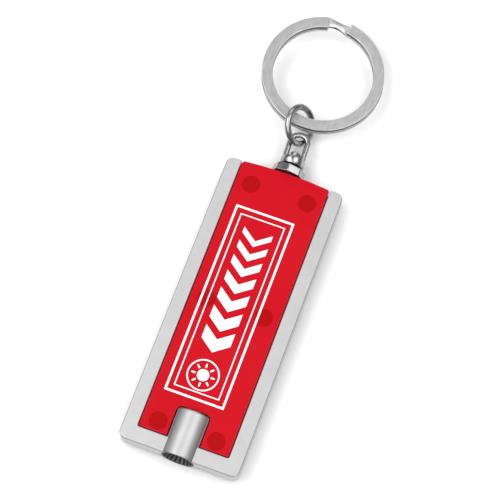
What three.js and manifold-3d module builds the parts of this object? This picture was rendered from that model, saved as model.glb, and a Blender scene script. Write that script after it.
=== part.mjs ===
// Slim keychain flashlight: a silver frame with a light barrel, two snap-together
// covers round a coin cell, a swivel bail, a jump ring and a split ring.
// Millimetres. While it is built, X runs across the body, Y from the lamp end to the
// swivel and Z from the middle of its thickness to the front face. The finished
// group is moved so that the origin is the centre of the back cover's face.

import * as THREE from 'three';
import { mergeVertices } from 'three/addons/utils/BufferGeometryUtils.js';
import Module from 'manifold-3d';

const wasm = await Module();
wasm.setup();

// ---- Frame ----
const BODY_WIDTH = 25.4;
const BODY_LENGTH = 63.5;
const BODY_THICKNESS = 4.4;
const RAIL_WIDTH = 3.0;
const END_BAR_WIDTH = 3.3;
const FRAME_CORNER_RADIUS = 1.5;
const FRAME_INNER_RADIUS = 0.4;
const EDGE_ROUNDING = 0.3;
const TONGUE_DEPTH = 0.4;

// ---- Light barrel ----
const BARREL_RADIUS = 3.8;
const BARREL_LENGTH = 9.8;
const BARREL_END_ROUNDING = 0.5;
const ROUNDED_CORNER_SHARE = 0.3;
const MOUTH_RIM = 0.25;
const MOUTH_DEPTH = 1.7;

// ---- Lamp: a 5 mm through-hole light-emitting diode ----
const LED_RADIUS = 2.5;
const LED_FLANGE_RADIUS = 2.9;
const LED_FLANGE_THICKNESS = 1.0;
const LED_LENGTH = 8.6;
const LED_INSET = 0.2;
const LED_CLEARANCE = 0.06;
const LEAD_PITCH = 2.54;
const LEAD_WIDTH = 0.5;
const LEAD_STUB = 1.4;
const ANVIL_DEPTH_FROM_TIP = 3.6;
const ANVIL_HEIGHT = 1.3;
const CUP_RADIUS = 0.45;
const CUP_DEPTH = 0.35;
const CUP_WALL = 0.2;
const CUP_MOUTH_SHARE = 0.95;
const CUP_FLOOR_SHARE = 0.6;
const POST_GAP = 0.25;
const CHIP_SIDE = 0.34;
const CHIP_HEIGHT = 0.14;
const POTTING_CLEARANCE = 0.03;

// ---- Covers ----
const COVER_GAP = 0.3;
const COVER_RECESS = 0.1;
const COVER_THICKNESS = 0.7;
const COVER_CORNER_RADIUS = 0.5;
const END_CROWN = 0.45;
const END_WALL = 1.0;
const SKIRT_THICKNESS = 0.5;
const SKIRT_CLEARANCE = 0.1;
const SPLIT_ABOVE_MIDDLE = 0.15;
const BOSS_RADIUS = 1.9;
const BOSS_FROM_RAIL = 3.55;
const BOSS_FROM_END_BAR = 2.35;
const BOSS_FROM_OPEN_END = 4.4;
const MIDDLE_BOSS_Y = 32.95;
const PIN_RADIUS = 1.0;
const PIN_LENGTH = 1.7;
const PIN_CLEARANCE = 0.1;
const COLLAR_LENGTH = 0.25;
const PRESS_TRAVEL = 0.2;
const PRESS_CLEARANCE = 0.05;
const PAD_RADIUS = 2.0;
const LINER_THICKNESS = 0.1;
const LINER_CLEARANCE = 0.1;

// ---- Coin cell, its holder and contacts ----
const CELL_DIAMETER = 16.0;
const CELL_HEIGHT = 1.6;
const CELL_FROM_BARREL = 3.1;
const CELL_CLEARANCE = 0.1;
const CAN_WALL = 0.22;
const CAP_WALL = 0.2;
const CAP_INSET = 1.3;
const GASKET_THICKNESS = 0.5;
const SEPARATOR_THICKNESS = 0.08;
const PELLET_THICKNESS = 0.5;
const HOLDER_HEIGHT = 1.74;
const HOLDER_END_WALL = 1.7;
const HOLDER_SLOT_WIDTH = 4.4;
const STRIP_WIDTH = 3.2;
const STRIP_THICKNESS = 0.18;
const STRIP_PAST_CENTRE = 4.65;
const LEAF_PAST_CENTRE = 0.95;
const TAB_WIDTH = 1.2;
const CONTACT_GAP = 0.26;
const STACK_CLEARANCE = 0.03;

// ---- Swivel ----
const STUD_RADIUS = 0.85;
const STUD_HEAD_RADIUS = 1.1;
const STUD_HEAD_HEIGHT = 1.4;
const STUD_DOME_SHARE = 0.3;
const STUD_CROWN_SHARE = 0.7;
const STUD_CROWN_DROP = 0.25;
const ANCHOR_WIDTH = 6.0;
const ANCHOR_THICKNESS = 1.0;
const ANCHOR_HEIGHT = 1.8;
const SWIVEL_CLEARANCE = 0.1;
const COLLAR_RADIUS = 3.5;
const COLLAR_THICKNESS = 1.65;
const COLLAR_SIDES = 8;
const COLLAR_FROM_COVER = 0.15;
const COLLAR_CHAMFER = 0.15;
const WASHER_RADIUS = 2.3;
const WASHER_THICKNESS = 0.45;
const BAIL_GAP = 0.65;
const BAIL_BASE_RADIUS = 2.55;
const BAIL_BASE_HEIGHT = 1.75;
const BAIL_WIRE_RADIUS = 0.6;
const BAIL_INNER_WIDTH = 2.5;
const BAIL_LEG_RISE = 3.7;
const BAIL_LEAN = 2.5;

// ---- Rings ----
const JUMP_RING_OUTER_RADIUS = 4.45;
const JUMP_WIRE_RADIUS = 0.6;
const JUMP_RING_SEAM = 0.12;
const JUMP_RING_SEAM_ANGLE = 118;
const JUMP_RING_TURN = 52;
const JUMP_RING_ROLL = 22;
const JUMP_RING_SLACK = 0.8;
const JUMP_RING_SIDE = -0.1;
const SPLIT_RING_OUTER_RADIUS = 12.9;
const SPLIT_BAND_WIDTH = 2.3;
const SPLIT_LAYER_THICKNESS = 0.93;
const SPLIT_LAYER_GAP = 0.05;
const SPLIT_UPPER_END = 83;
const SPLIT_JOG = 21;
const SPLIT_BAND_AHEAD = 0.74;
const SPLIT_CENTRE_SIDE = 0.62;
const SPLIT_RING_ROLL = 2.4;

// ---- Fineness of curved faces ----
// How far a curve handle reaches along its side to draw a quarter circle.
const QUARTER_ARC_HANDLE = 0.5523;
const ROUND_STEPS = 40;
const SMALL_STEPS = 24;
const WIRE_STEPS = 12;

// ---- Levels and places that follow from the sizes above ----
const FACE = BODY_THICKNESS / 2;
const COVER_FACE = FACE - COVER_RECESS;
const PLATE_INNER = COVER_FACE - COVER_THICKNESS;
const OPENING_HALF = BODY_WIDTH / 2 - RAIL_WIDTH;
const COVER_HALF = OPENING_HALF - COVER_GAP;
const COVER_LOW = END_BAR_WIDTH + COVER_GAP;
const TONGUE_TIP = OPENING_HALF - TONGUE_DEPTH;
const TONGUE_FRONT = PLATE_INNER - PRESS_TRAVEL - PRESS_CLEARANCE;
const TONGUE_BACK = STACK_CLEARANCE - PLATE_INNER;
const SKIRT_OUTER = TONGUE_TIP - SKIRT_CLEARANCE;
const SKIRT_INNER = SKIRT_OUTER - SKIRT_THICKNESS;
const SKIRT_LOW = END_BAR_WIDTH + TONGUE_DEPTH + SKIRT_CLEARANCE;
const END_WALL_INNER = BODY_LENGTH - END_WALL;
const SPLIT_BACK = SPLIT_ABOVE_MIDDLE - PRESS_TRAVEL - 2 * PRESS_CLEARANCE;
const COLLAR_TIP = PLATE_INNER - COLLAR_LENGTH;
const SOCKET_TOP = COLLAR_TIP - PRESS_TRAVEL - 2 * PRESS_CLEARANCE;
const BOSS_X = OPENING_HALF - BOSS_FROM_RAIL;
const BOSS_ROWS = [END_BAR_WIDTH + BOSS_FROM_END_BAR, MIDDLE_BOSS_Y, BODY_LENGTH - BOSS_FROM_OPEN_END];
const LED_BASE = BARREL_LENGTH - LED_INSET;
const LED_TIP = LED_BASE - LED_LENGTH;
const LEAD_END = LED_BASE + LEAD_STUB;
const CELL_RADIUS = CELL_DIAMETER / 2;
const CELL_Y = BARREL_LENGTH + CELL_FROM_BARREL + CELL_RADIUS;
const LINER_BACK = STACK_CLEARANCE - PLATE_INNER;
const LINER_FRONT = PLATE_INNER - STACK_CLEARANCE - LINER_THICKNESS;
const STRIP_BACK = LINER_BACK + LINER_THICKNESS + STACK_CLEARANCE;
const CELL_BACK = STRIP_BACK + STRIP_THICKNESS + STACK_CLEARANCE;
const CELL_FRONT = CELL_BACK + CELL_HEIGHT;
const LEAF_BACK = CELL_FRONT + CONTACT_GAP;
const LEAF_FRONT = LEAF_BACK + STRIP_THICKNESS;
const PAD_TIP = LEAF_FRONT + PRESS_CLEARANCE;
const TAB_Y = LEAD_END + PRESS_CLEARANCE;
const COVER_CROWN_Y = BODY_LENGTH + END_CROWN;
const COLLAR_Y = COVER_CROWN_Y + COLLAR_FROM_COVER;
const WASHER_Y = COLLAR_Y + COLLAR_THICKNESS + PRESS_CLEARANCE;
const BAIL_Y = COLLAR_Y + COLLAR_THICKNESS + BAIL_GAP;
const STUD_HEAD_Y = BAIL_Y + BAIL_BASE_HEIGHT + SWIVEL_CLEARANCE;
const BAIL_MIDDLE = BAIL_Y + BAIL_BASE_HEIGHT / 2;
const BAIL_LEG_X = BAIL_INNER_WIDTH / 2 + BAIL_WIRE_RADIUS;
const BAIL_ARCH_Y = BAIL_Y + BAIL_BASE_HEIGHT + BAIL_LEG_RISE;
const JUMP_MID_RADIUS = JUMP_RING_OUTER_RADIUS - JUMP_WIRE_RADIUS;
const SPLIT_MID_RADIUS = SPLIT_RING_OUTER_RADIUS - SPLIT_BAND_WIDTH / 2;
const SPLIT_LAYER_PITCH = SPLIT_LAYER_THICKNESS + SPLIT_LAYER_GAP;

// ---- Finishes ----
const finish = (color, metalness, roughness, extra = {}) =>
  new THREE.MeshStandardMaterial({ color, metalness, roughness, ...extra });
const silverPaint = finish(0xd9dadb, 0.35, 0.42);
const redPlastic = finish(0xdc2835, 0.0, 0.2, { transparent: true, opacity: 0.85 });
const whiteCard = finish(0xf2f0ea, 0.0, 0.8);
const whitePlastic = finish(0xe9e8e2, 0.0, 0.5);
const clearEpoxy = finish(0xe8eef2, 0.0, 0.08, { transparent: true, opacity: 0.4 });
const tinnedSteel = finish(0xb9babd, 1.0, 0.35);
const cellSteel = finish(0xc4c6c9, 1.0, 0.25);
const gasketPlastic = finish(0x3a3b3d, 0.0, 0.6);
const cathodeMix = finish(0x26262a, 0.0, 0.9);
const separatorFelt = finish(0xe6e3d8, 0.0, 0.95);
const lithiumMetal = finish(0xa9adb3, 1.0, 0.5);
const phosphor = finish(0xe9d34a, 0.0, 0.6);
const phosphorBronze = finish(0xc79a5b, 1.0, 0.35);
const polishedSteel = finish(0xbfc1c4, 1.0, 0.18);
const brushedSteel = finish(0xb6b8ba, 1.0, 0.32);
const blackNylon = finish(0x141416, 0.0, 0.55);

// ---- Making and joining solids ----
function signedVolume(positions, indices) {
  const [a, b, c] = [new THREE.Vector3(), new THREE.Vector3(), new THREE.Vector3()];
  let total = 0;
  for (let i = 0; i < indices.length; i += 3) {
    a.fromArray(positions, indices[i] * 3);
    b.fromArray(positions, indices[i + 1] * 3);
    c.fromArray(positions, indices[i + 2] * 3);
    total += a.dot(b.cross(c)) / 6;
  }
  return total;
}

function solidOf(geometry) {
  const plain = geometry.clone();
  plain.deleteAttribute('normal');
  plain.deleteAttribute('uv');
  const merged = mergeVertices(plain, 1e-4);
  const positions = merged.getAttribute('position').array;
  const corners = merged.index.array;
  const kept = [];
  for (let i = 0; i < corners.length; i += 3) {
    const [a, b, c] = [corners[i], corners[i + 1], corners[i + 2]];
    if (a !== b && b !== c && c !== a) kept.push(a, b, c);
  }
  if (signedVolume(positions, kept) < 0) kept.reverse();
  const mesh = new wasm.Mesh({
    numProp: 3,
    vertProperties: Float32Array.from(positions),
    triVerts: Uint32Array.from(kept),
  });
  return new wasm.Manifold(mesh);
}

function geometryOf(solid) {
  const mesh = solid.getMesh();
  const geometry = new THREE.BufferGeometry();
  geometry.setAttribute('position', new THREE.BufferAttribute(mesh.vertProperties, 3));
  geometry.setIndex(new THREE.BufferAttribute(mesh.triVerts, 1));
  geometry.computeVertexNormals();
  return geometry;
}

const joined = (...solids) => solids.reduce((whole, solid) => whole.add(solid));
const cut = (solid, ...tools) => tools.reduce((rest, tool) => rest.subtract(tool), solid);

function block(x0, x1, y0, y1, z0, z1) {
  const geometry = new THREE.BoxGeometry(x1 - x0, y1 - y0, z1 - z0);
  geometry.translate((x0 + x1) / 2, (y0 + y1) / 2, (z0 + z1) / 2);
  return solidOf(geometry);
}

function plate(shape, z0, z1) {
  const geometry = new THREE.ExtrudeGeometry(shape, { depth: z1 - z0, bevelEnabled: false, curveSegments: 5 });
  geometry.translate(0, 0, z0);
  return solidOf(geometry);
}

function lathe(profile, steps = ROUND_STEPS) {
  const points = profile.map(([radius, height]) => new THREE.Vector2(radius, height));
  return new THREE.LatheGeometry(points, steps);
}

// A solid turned about the Y axis.
const turned = (profile, steps) => solidOf(lathe(profile, steps));

// A solid turned about an upright axis through (x, y), its heights along Z.
function upright(profile, x, y, steps) {
  const geometry = lathe(profile, steps);
  geometry.rotateX(Math.PI / 2);
  geometry.translate(x, y, 0);
  return solidOf(geometry);
}

const disc = (radius, low, high) => [[0, low], [radius, low], [radius, high], [0, high]];
const tube = (inner, outer, low, high) => [[inner, low], [outer, low], [outer, high], [inner, high], [inner, low]];

function roundedOutline(corners) {
  const arcHandle = 1 - QUARTER_ARC_HANDLE;
  const shape = new THREE.Shape();
  const along = (from, to, distance) => {
    const start = new THREE.Vector2(from[0], from[1]);
    const step = new THREE.Vector2(to[0], to[1]).sub(start).setLength(distance);
    return start.add(step);
  };
  corners.forEach((corner, index) => {
    const before = corners[(index + corners.length - 1) % corners.length];
    const after = corners[(index + 1) % corners.length];
    const radius = corner[2];
    const entry = along(corner, before, radius);
    const exit = along(corner, after, radius);
    const first = along(corner, before, radius * arcHandle);
    const second = along(corner, after, radius * arcHandle);
    if (index === 0) shape.moveTo(entry.x, entry.y);
    else shape.lineTo(entry.x, entry.y);
    shape.bezierCurveTo(first.x, first.y, second.x, second.y, exit.x, exit.y);
  });
  shape.closePath();
  return shape;
}

// ---- Frame with its light barrel ----
function frame() {
  const half = BODY_WIDTH / 2;
  const outline = roundedOutline([
    [-half, 0, FRAME_CORNER_RADIUS],
    [half, 0, FRAME_CORNER_RADIUS],
    [half, BODY_LENGTH, FRAME_CORNER_RADIUS],
    [OPENING_HALF, BODY_LENGTH, FRAME_INNER_RADIUS],
    [OPENING_HALF, END_BAR_WIDTH, FRAME_INNER_RADIUS],
    [-OPENING_HALF, END_BAR_WIDTH, FRAME_INNER_RADIUS],
    [-OPENING_HALF, BODY_LENGTH, FRAME_INNER_RADIUS],
    [-half, BODY_LENGTH, FRAME_CORNER_RADIUS],
  ]);
  const rails = new THREE.ExtrudeGeometry(outline, {
    depth: BODY_THICKNESS - 2 * EDGE_ROUNDING,
    bevelThickness: EDGE_ROUNDING,
    bevelSize: EDGE_ROUNDING,
    bevelOffset: -EDGE_ROUNDING,
    bevelSegments: 2,
    curveSegments: 4,
  });
  rails.translate(0, 0, EDGE_ROUNDING - FACE);
  const root = FRAME_INNER_RADIUS + EDGE_ROUNDING;
  const tongueEnd = END_WALL_INNER - SKIRT_CLEARANCE;
  const tongues = [
    block(-OPENING_HALF - root, -TONGUE_TIP, END_BAR_WIDTH, tongueEnd, TONGUE_BACK, TONGUE_FRONT),
    block(TONGUE_TIP, OPENING_HALF + root, END_BAR_WIDTH, tongueEnd, TONGUE_BACK, TONGUE_FRONT),
    block(-OPENING_HALF, OPENING_HALF, END_BAR_WIDTH - root, END_BAR_WIDTH + TONGUE_DEPTH,
      TONGUE_BACK, TONGUE_FRONT),
  ];
  const rounding = BARREL_END_ROUNDING;
  const barrel = turned([
    [0, 0],
    [BARREL_RADIUS, 0],
    [BARREL_RADIUS, BARREL_LENGTH - rounding],
    [BARREL_RADIUS - rounding * ROUNDED_CORNER_SHARE, BARREL_LENGTH - rounding * ROUNDED_CORNER_SHARE],
    [BARREL_RADIUS - rounding, BARREL_LENGTH],
    [0, BARREL_LENGTH],
  ]);
  const seat = LED_BASE - LED_FLANGE_THICKNESS - LED_CLEARANCE;
  const past = 1;
  const mouthRadius = BARREL_RADIUS - MOUTH_RIM;
  const boreRadius = LED_RADIUS + LED_CLEARANCE;
  const mouthSlope = (mouthRadius - boreRadius) / MOUTH_DEPTH;
  const bore = turned([
    [0, -past],
    [mouthRadius + mouthSlope * past, -past],
    [boreRadius, MOUTH_DEPTH],
    [boreRadius, seat],
    [LED_FLANGE_RADIUS + LED_CLEARANCE, seat],
    [LED_FLANGE_RADIUS + LED_CLEARANCE, BARREL_LENGTH + past],
    [0, BARREL_LENGTH + past],
  ]);
  return cut(joined(solidOf(rails), ...tongues, barrel), bore);
}

// ---- Covers ----
function coverOutline() {
  const corner = COVER_CORNER_RADIUS;
  const shape = new THREE.Shape();
  shape.moveTo(-COVER_HALF, COVER_LOW);
  shape.lineTo(COVER_HALF, COVER_LOW);
  shape.lineTo(COVER_HALF, BODY_LENGTH - corner);
  shape.quadraticCurveTo(COVER_HALF, BODY_LENGTH, COVER_HALF - corner, BODY_LENGTH);
  shape.quadraticCurveTo(0, BODY_LENGTH + 2 * END_CROWN, corner - COVER_HALF, BODY_LENGTH);
  shape.quadraticCurveTo(-COVER_HALF, BODY_LENGTH, -COVER_HALF, BODY_LENGTH - corner);
  shape.closePath();
  return shape;
}

const bossPlaces = () => BOSS_ROWS.flatMap((y) => [[-BOSS_X, y], [BOSS_X, y]]);

// Walls round the inside of a cover, from z0 to z1, with the end wall at the swivel.
function skirt(z0, z1) {
  const barrelSide = BARREL_RADIUS + COVER_GAP;
  const endWall = plate(coverOutline(), z0, z1);
  const beyond = COVER_CROWN_Y + 1;
  return joined(
    block(-SKIRT_OUTER, -SKIRT_INNER, SKIRT_LOW, BODY_LENGTH - END_WALL / 2, z0, z1),
    block(SKIRT_INNER, SKIRT_OUTER, SKIRT_LOW, BODY_LENGTH - END_WALL / 2, z0, z1),
    block(-SKIRT_OUTER, -barrelSide, SKIRT_LOW, SKIRT_LOW + SKIRT_THICKNESS, z0, z1),
    block(barrelSide, SKIRT_OUTER, SKIRT_LOW, SKIRT_LOW + SKIRT_THICKNESS, z0, z1),
    endWall.intersect(block(-BODY_WIDTH, BODY_WIDTH, END_WALL_INNER, beyond, z0, z1)),
  );
}

// The space that the light barrel and the swivel stud need through a cover.
function coverCuts() {
  const past = 1;
  const side = BARREL_RADIUS + COVER_GAP;
  const end = BARREL_LENGTH + COVER_GAP;
  const rounding = BARREL_END_ROUNDING + COVER_GAP;
  const barrelRoom = turned([
    [0, -past],
    [side, -past],
    [side, end - rounding],
    [side - rounding * ROUNDED_CORNER_SHARE, end - rounding * ROUNDED_CORNER_SHARE],
    [side - rounding, end],
    [0, end],
  ]);
  const studRoom = turned(disc(STUD_RADIUS + SWIVEL_CLEARANCE, END_WALL_INNER - past, COVER_CROWN_Y + past),
    SMALL_STEPS);
  return [barrelRoom, studRoom];
}

// The front cover comes down round the stud as it is pressed.
function pressedStudRoom() {
  const side = STUD_RADIUS + SWIVEL_CLEARANCE;
  const past = 1;
  return joined(
    turned(disc(side, END_WALL_INNER - past, COVER_CROWN_Y + past), SMALL_STEPS).translate(0, 0, PRESS_TRAVEL),
    block(-side, side, END_WALL_INNER - past, COVER_CROWN_Y + past, 0, PRESS_TRAVEL),
  );
}

function frontCover() {
  const bite = COVER_THICKNESS / 2;
  const pins = bossPlaces().map(([x, y]) => joined(
    upright(disc(BOSS_RADIUS, COLLAR_TIP, PLATE_INNER + bite), x, y, SMALL_STEPS),
    upright(disc(PIN_RADIUS, COLLAR_TIP - PIN_LENGTH, PLATE_INNER), x, y, SMALL_STEPS),
  ));
  const pad = upright(disc(PAD_RADIUS, PAD_TIP, PLATE_INNER + bite), 0, CELL_Y, SMALL_STEPS);
  const socketRoom = bossPlaces().map(([x, y]) =>
    upright(disc(BOSS_RADIUS + PIN_CLEARANCE, 0, COLLAR_TIP), x, y, SMALL_STEPS));
  const whole = joined(
    plate(coverOutline(), PLATE_INNER, COVER_FACE),
    cut(skirt(SPLIT_ABOVE_MIDDLE, PLATE_INNER + bite), ...socketRoom),
    pad,
    ...pins,
  );
  return cut(whole, ...coverCuts(), pressedStudRoom());
}

function backCover() {
  const bite = COVER_THICKNESS / 2;
  const sockets = bossPlaces().map(([x, y]) =>
    upright(disc(BOSS_RADIUS, -PLATE_INNER - bite, SOCKET_TOP), x, y, SMALL_STEPS));
  const holes = bossPlaces().map(([x, y]) =>
    upright(disc(PIN_RADIUS + PIN_CLEARANCE, -PLATE_INNER, SOCKET_TOP + 1), x, y, SMALL_STEPS));
  const anchorSide = ANCHOR_WIDTH / 2 + SWIVEL_CLEARANCE;
  const anchorBack = END_WALL_INNER - 2 * SWIVEL_CLEARANCE - ANCHOR_THICKNESS;
  const anchorRib = block(-anchorSide, anchorSide, anchorBack - SKIRT_THICKNESS, anchorBack,
    -PLATE_INNER - bite, SPLIT_BACK);
  const whole = joined(
    plate(coverOutline(), -COVER_FACE, -PLATE_INNER),
    skirt(-PLATE_INNER - bite, SPLIT_BACK),
    anchorRib,
    ...sockets,
  );
  return cut(whole, ...holes, ...coverCuts());
}

// White card behind a cover, holed for its bosses.
function liner(z0, farEnd, padHole) {
  const side = SKIRT_INNER - LINER_CLEARANCE;
  const low = SKIRT_LOW + SKIRT_THICKNESS + LINER_CLEARANCE;
  const z1 = z0 + LINER_THICKNESS;
  const barrelSide = BARREL_RADIUS + COVER_GAP;
  const holes = bossPlaces().map(([x, y]) =>
    upright(disc(BOSS_RADIUS + LINER_CLEARANCE, z0 - 1, z1 + 1), x, y, SMALL_STEPS));
  if (padHole) holes.push(upright(disc(PAD_RADIUS + LINER_CLEARANCE, z0 - 1, z1 + 1), 0, CELL_Y, SMALL_STEPS));
  const notch = block(-barrelSide, barrelSide, 0, BARREL_LENGTH + COVER_GAP, z0 - 1, z1 + 1);
  return cut(block(-side, side, low, farEnd, z0, z1), notch, ...holes);
}

const frontLiner = () => liner(LINER_FRONT, END_WALL_INNER - LINER_CLEARANCE, true);

function backLiner() {
  const anchorRoom = ANCHOR_THICKNESS + 2 * SWIVEL_CLEARANCE + SKIRT_THICKNESS;
  return liner(LINER_BACK, END_WALL_INNER - anchorRoom - LINER_CLEARANCE, false);
}

// ---- Lamp ----
const ANVIL_Y = LED_TIP + ANVIL_DEPTH_FROM_TIP;
const LEAD_X = LEAD_PITCH / 2;
const ANVIL_REACH = CUP_RADIUS + CUP_WALL;
const POST_REACH = LEAD_X - ANVIL_REACH - POST_GAP;

// A lead frame half: a straight lead and a head that reaches towards the middle.
function leadFrame(side, headInner, grow, leadEnd) {
  const half = LEAD_WIDTH / 2 + grow;
  const outer = LEAD_X + half;
  const mirrored = (x0, x1, y0, y1) =>
    block(Math.min(side * x0, side * x1), Math.max(side * x0, side * x1), y0, y1, -half, half);
  return joined(
    mirrored(LEAD_X - half, outer, ANVIL_Y - grow, leadEnd),
    mirrored(headInner - grow, outer, ANVIL_Y - grow, ANVIL_Y + ANVIL_HEIGHT + grow),
  );
}

const cupRoom = (grow) => turned([
  [0, ANVIL_Y - 1],
  [CUP_RADIUS * CUP_MOUTH_SHARE + grow, ANVIL_Y - 1],
  [CUP_RADIUS * CUP_FLOOR_SHARE + grow, ANVIL_Y + CUP_DEPTH + grow],
  [0, ANVIL_Y + CUP_DEPTH + grow],
], SMALL_STEPS);

const cathodeLead = () => cut(leadFrame(1, -ANVIL_REACH, 0, LEAD_END), cupRoom(0));
const anodeLead = () => leadFrame(-1, LEAD_X - POST_REACH, 0, LEAD_END);

function ledChip() {
  const floor = ANVIL_Y + CUP_DEPTH - POTTING_CLEARANCE;
  const half = CHIP_SIDE / 2;
  return block(-half, half, floor - CHIP_HEIGHT, floor, -half, half);
}

function ledLens() {
  const dome = Array.from({ length: 9 }, (_, i) => {
    const angle = (i / 8) * (Math.PI / 2);
    return [LED_RADIUS * Math.sin(angle), LED_TIP + LED_RADIUS * (1 - Math.cos(angle))];
  });
  dome[0][0] = 0;
  const body = turned([
    ...dome,
    [LED_RADIUS, LED_BASE - LED_FLANGE_THICKNESS],
    [LED_FLANGE_RADIUS, LED_BASE - LED_FLANGE_THICKNESS],
    [LED_FLANGE_RADIUS, LED_BASE],
    [0, LED_BASE],
  ], 32);
  const through = LED_BASE + 1;
  return cut(
    body,
    leadFrame(1, -ANVIL_REACH, POTTING_CLEARANCE, through),
    leadFrame(-1, LEAD_X - POST_REACH, POTTING_CLEARANCE, through),
  );
}

// ---- Coin cell ----
const capRadius = CELL_RADIUS - CAP_INSET;
const atCell = (profile) => upright(profile.map(([r, h]) => [r, CELL_BACK + h]), 0, CELL_Y);
const pelletTop = CAN_WALL + STACK_CLEARANCE + PELLET_THICKNESS;
const separatorTop = pelletTop + STACK_CLEARANCE + SEPARATOR_THICKNESS;
const crimpTop = CELL_HEIGHT - CAP_WALL;
const gasketOuter = CELL_RADIUS - CAN_WALL - STACK_CLEARANCE;
const gasketInner = gasketOuter - GASKET_THICKNESS;
const innerRadius = gasketInner - STACK_CLEARANCE;

const batteryCan = () => atCell([
  [0, 0],
  [CELL_RADIUS - CAN_WALL, 0],
  [CELL_RADIUS, CAN_WALL],
  [CELL_RADIUS, crimpTop - CAN_WALL],
  [CELL_RADIUS - CAN_WALL, crimpTop],
  [CELL_RADIUS - 2 * CAN_WALL, crimpTop],
  [CELL_RADIUS - CAN_WALL, crimpTop - CAN_WALL],
  [CELL_RADIUS - CAN_WALL, CAN_WALL],
  [0, CAN_WALL],
]);

const batteryGasket = () => atCell([
  [gasketInner, CAN_WALL + STACK_CLEARANCE],
  [gasketOuter, CAN_WALL + STACK_CLEARANCE],
  [gasketOuter, crimpTop - CAN_WALL - STACK_CLEARANCE],
  [gasketInner, crimpTop - STACK_CLEARANCE],
  [gasketInner, CAN_WALL + STACK_CLEARANCE],
]);

const batteryCap = () => atCell([
  [0, CELL_HEIGHT - CAP_WALL],
  [capRadius - CAP_WALL, CELL_HEIGHT - CAP_WALL],
  [capRadius - CAP_WALL, separatorTop + STACK_CLEARANCE],
  [capRadius, separatorTop + STACK_CLEARANCE],
  [capRadius, CELL_HEIGHT - CAP_WALL],
  [capRadius - CAP_WALL, CELL_HEIGHT],
  [0, CELL_HEIGHT],
]);

const batteryPellet = () => atCell(disc(innerRadius, CAN_WALL + STACK_CLEARANCE, pelletTop));
const batterySeparator = () => atCell(disc(innerRadius, pelletTop + STACK_CLEARANCE, separatorTop));
const batteryLithium = () => atCell(disc(
  capRadius - CAP_WALL - STACK_CLEARANCE,
  separatorTop + STACK_CLEARANCE,
  crimpTop - STACK_CLEARANCE,
));

// ---- Cell holder and contacts ----
function cellHolder() {
  const side = SKIRT_INNER - LINER_CLEARANCE;
  const reach = CELL_RADIUS + HOLDER_END_WALL;
  const room = CELL_RADIUS + CELL_CLEARANCE;
  const low = STRIP_BACK;
  const high = STRIP_BACK + HOLDER_HEIGHT;
  const slot = HOLDER_SLOT_WIDTH / 2;
  return cut(
    block(-side, side, CELL_Y - reach, CELL_Y + reach, low, high),
    upright(disc(room, low - 1, high + 1), 0, CELL_Y),
    block(-slot, slot, CELL_Y - reach - 1, CELL_Y, low - 1, high + 1),
  );
}

// A strip over or under the cell, from a tab that faces its lead's end to a little past the
// cell's middle.
function contact(side, z0, pastCentre, tabFrom, tabTo) {
  const half = STRIP_WIDTH / 2;
  const inner = half - TAB_WIDTH;
  const [x0, x1] = side > 0 ? [inner, half] : [-half, -inner];
  return joined(
    block(-half, half, TAB_Y, CELL_Y + pastCentre, z0, z0 + STRIP_THICKNESS),
    block(x0, x1, TAB_Y, TAB_Y + STRIP_THICKNESS, tabFrom, tabTo),
  );
}

const LEAD_FACE = LEAD_WIDTH / 2;
const cathodeLeaf = () => contact(1, LEAF_BACK, LEAF_PAST_CENTRE, -LEAD_FACE, LEAF_FRONT);
const anodeStrip = () => contact(-1, STRIP_BACK, STRIP_PAST_CENTRE, STRIP_BACK, LEAD_FACE);

// ---- Swivel ----
function swivelStud() {
  const anchorY = END_WALL_INNER - SWIVEL_CLEARANCE - ANCHOR_THICKNESS;
  const dome = STUD_HEAD_HEIGHT * STUD_DOME_SHARE;
  const top = STUD_HEAD_Y + STUD_HEAD_HEIGHT;
  const pin = turned([
    [0, anchorY],
    [STUD_RADIUS, anchorY],
    [STUD_RADIUS, STUD_HEAD_Y],
    [STUD_HEAD_RADIUS, STUD_HEAD_Y],
    [STUD_HEAD_RADIUS, top - dome],
    [STUD_HEAD_RADIUS * STUD_CROWN_SHARE, top - dome * STUD_CROWN_DROP],
    [0, top],
  ], SMALL_STEPS);
  const half = ANCHOR_WIDTH / 2;
  const anchor = block(-half, half, anchorY, anchorY + ANCHOR_THICKNESS, -ANCHOR_HEIGHT / 2, ANCHOR_HEIGHT / 2);
  return joined(pin, anchor);
}

// An eight-sided collar with a round bore and chamfered corners.
function swivelCollar() {
  const top = COLLAR_Y + COLLAR_THICKNESS;
  const past = 1;
  const outside = turned([
    [0, COLLAR_Y],
    [COLLAR_RADIUS - COLLAR_CHAMFER, COLLAR_Y],
    [COLLAR_RADIUS, COLLAR_Y + COLLAR_CHAMFER],
    [COLLAR_RADIUS, top - COLLAR_CHAMFER],
    [COLLAR_RADIUS - COLLAR_CHAMFER, top],
    [0, top],
  ], COLLAR_SIDES);
  return cut(outside, turned(disc(STUD_RADIUS + PRESS_CLEARANCE, COLLAR_Y - past, top + past), SMALL_STEPS));
}

const swivelWasher = () => turned(
  tube(STUD_RADIUS + PRESS_CLEARANCE, WASHER_RADIUS, WASHER_Y, WASHER_Y + WASHER_THICKNESS),
  SMALL_STEPS,
);

// A round bar bent along a path, from a section of WIRE_STEPS sides.
function bentWire(path, radius, steps) {
  const section = new THREE.Shape();
  section.absarc(0, 0, radius, 0, 2 * Math.PI, false);
  return solidOf(new THREE.ExtrudeGeometry(section, { extrudePath: path, steps, curveSegments: WIRE_STEPS / 2 }));
}

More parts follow.
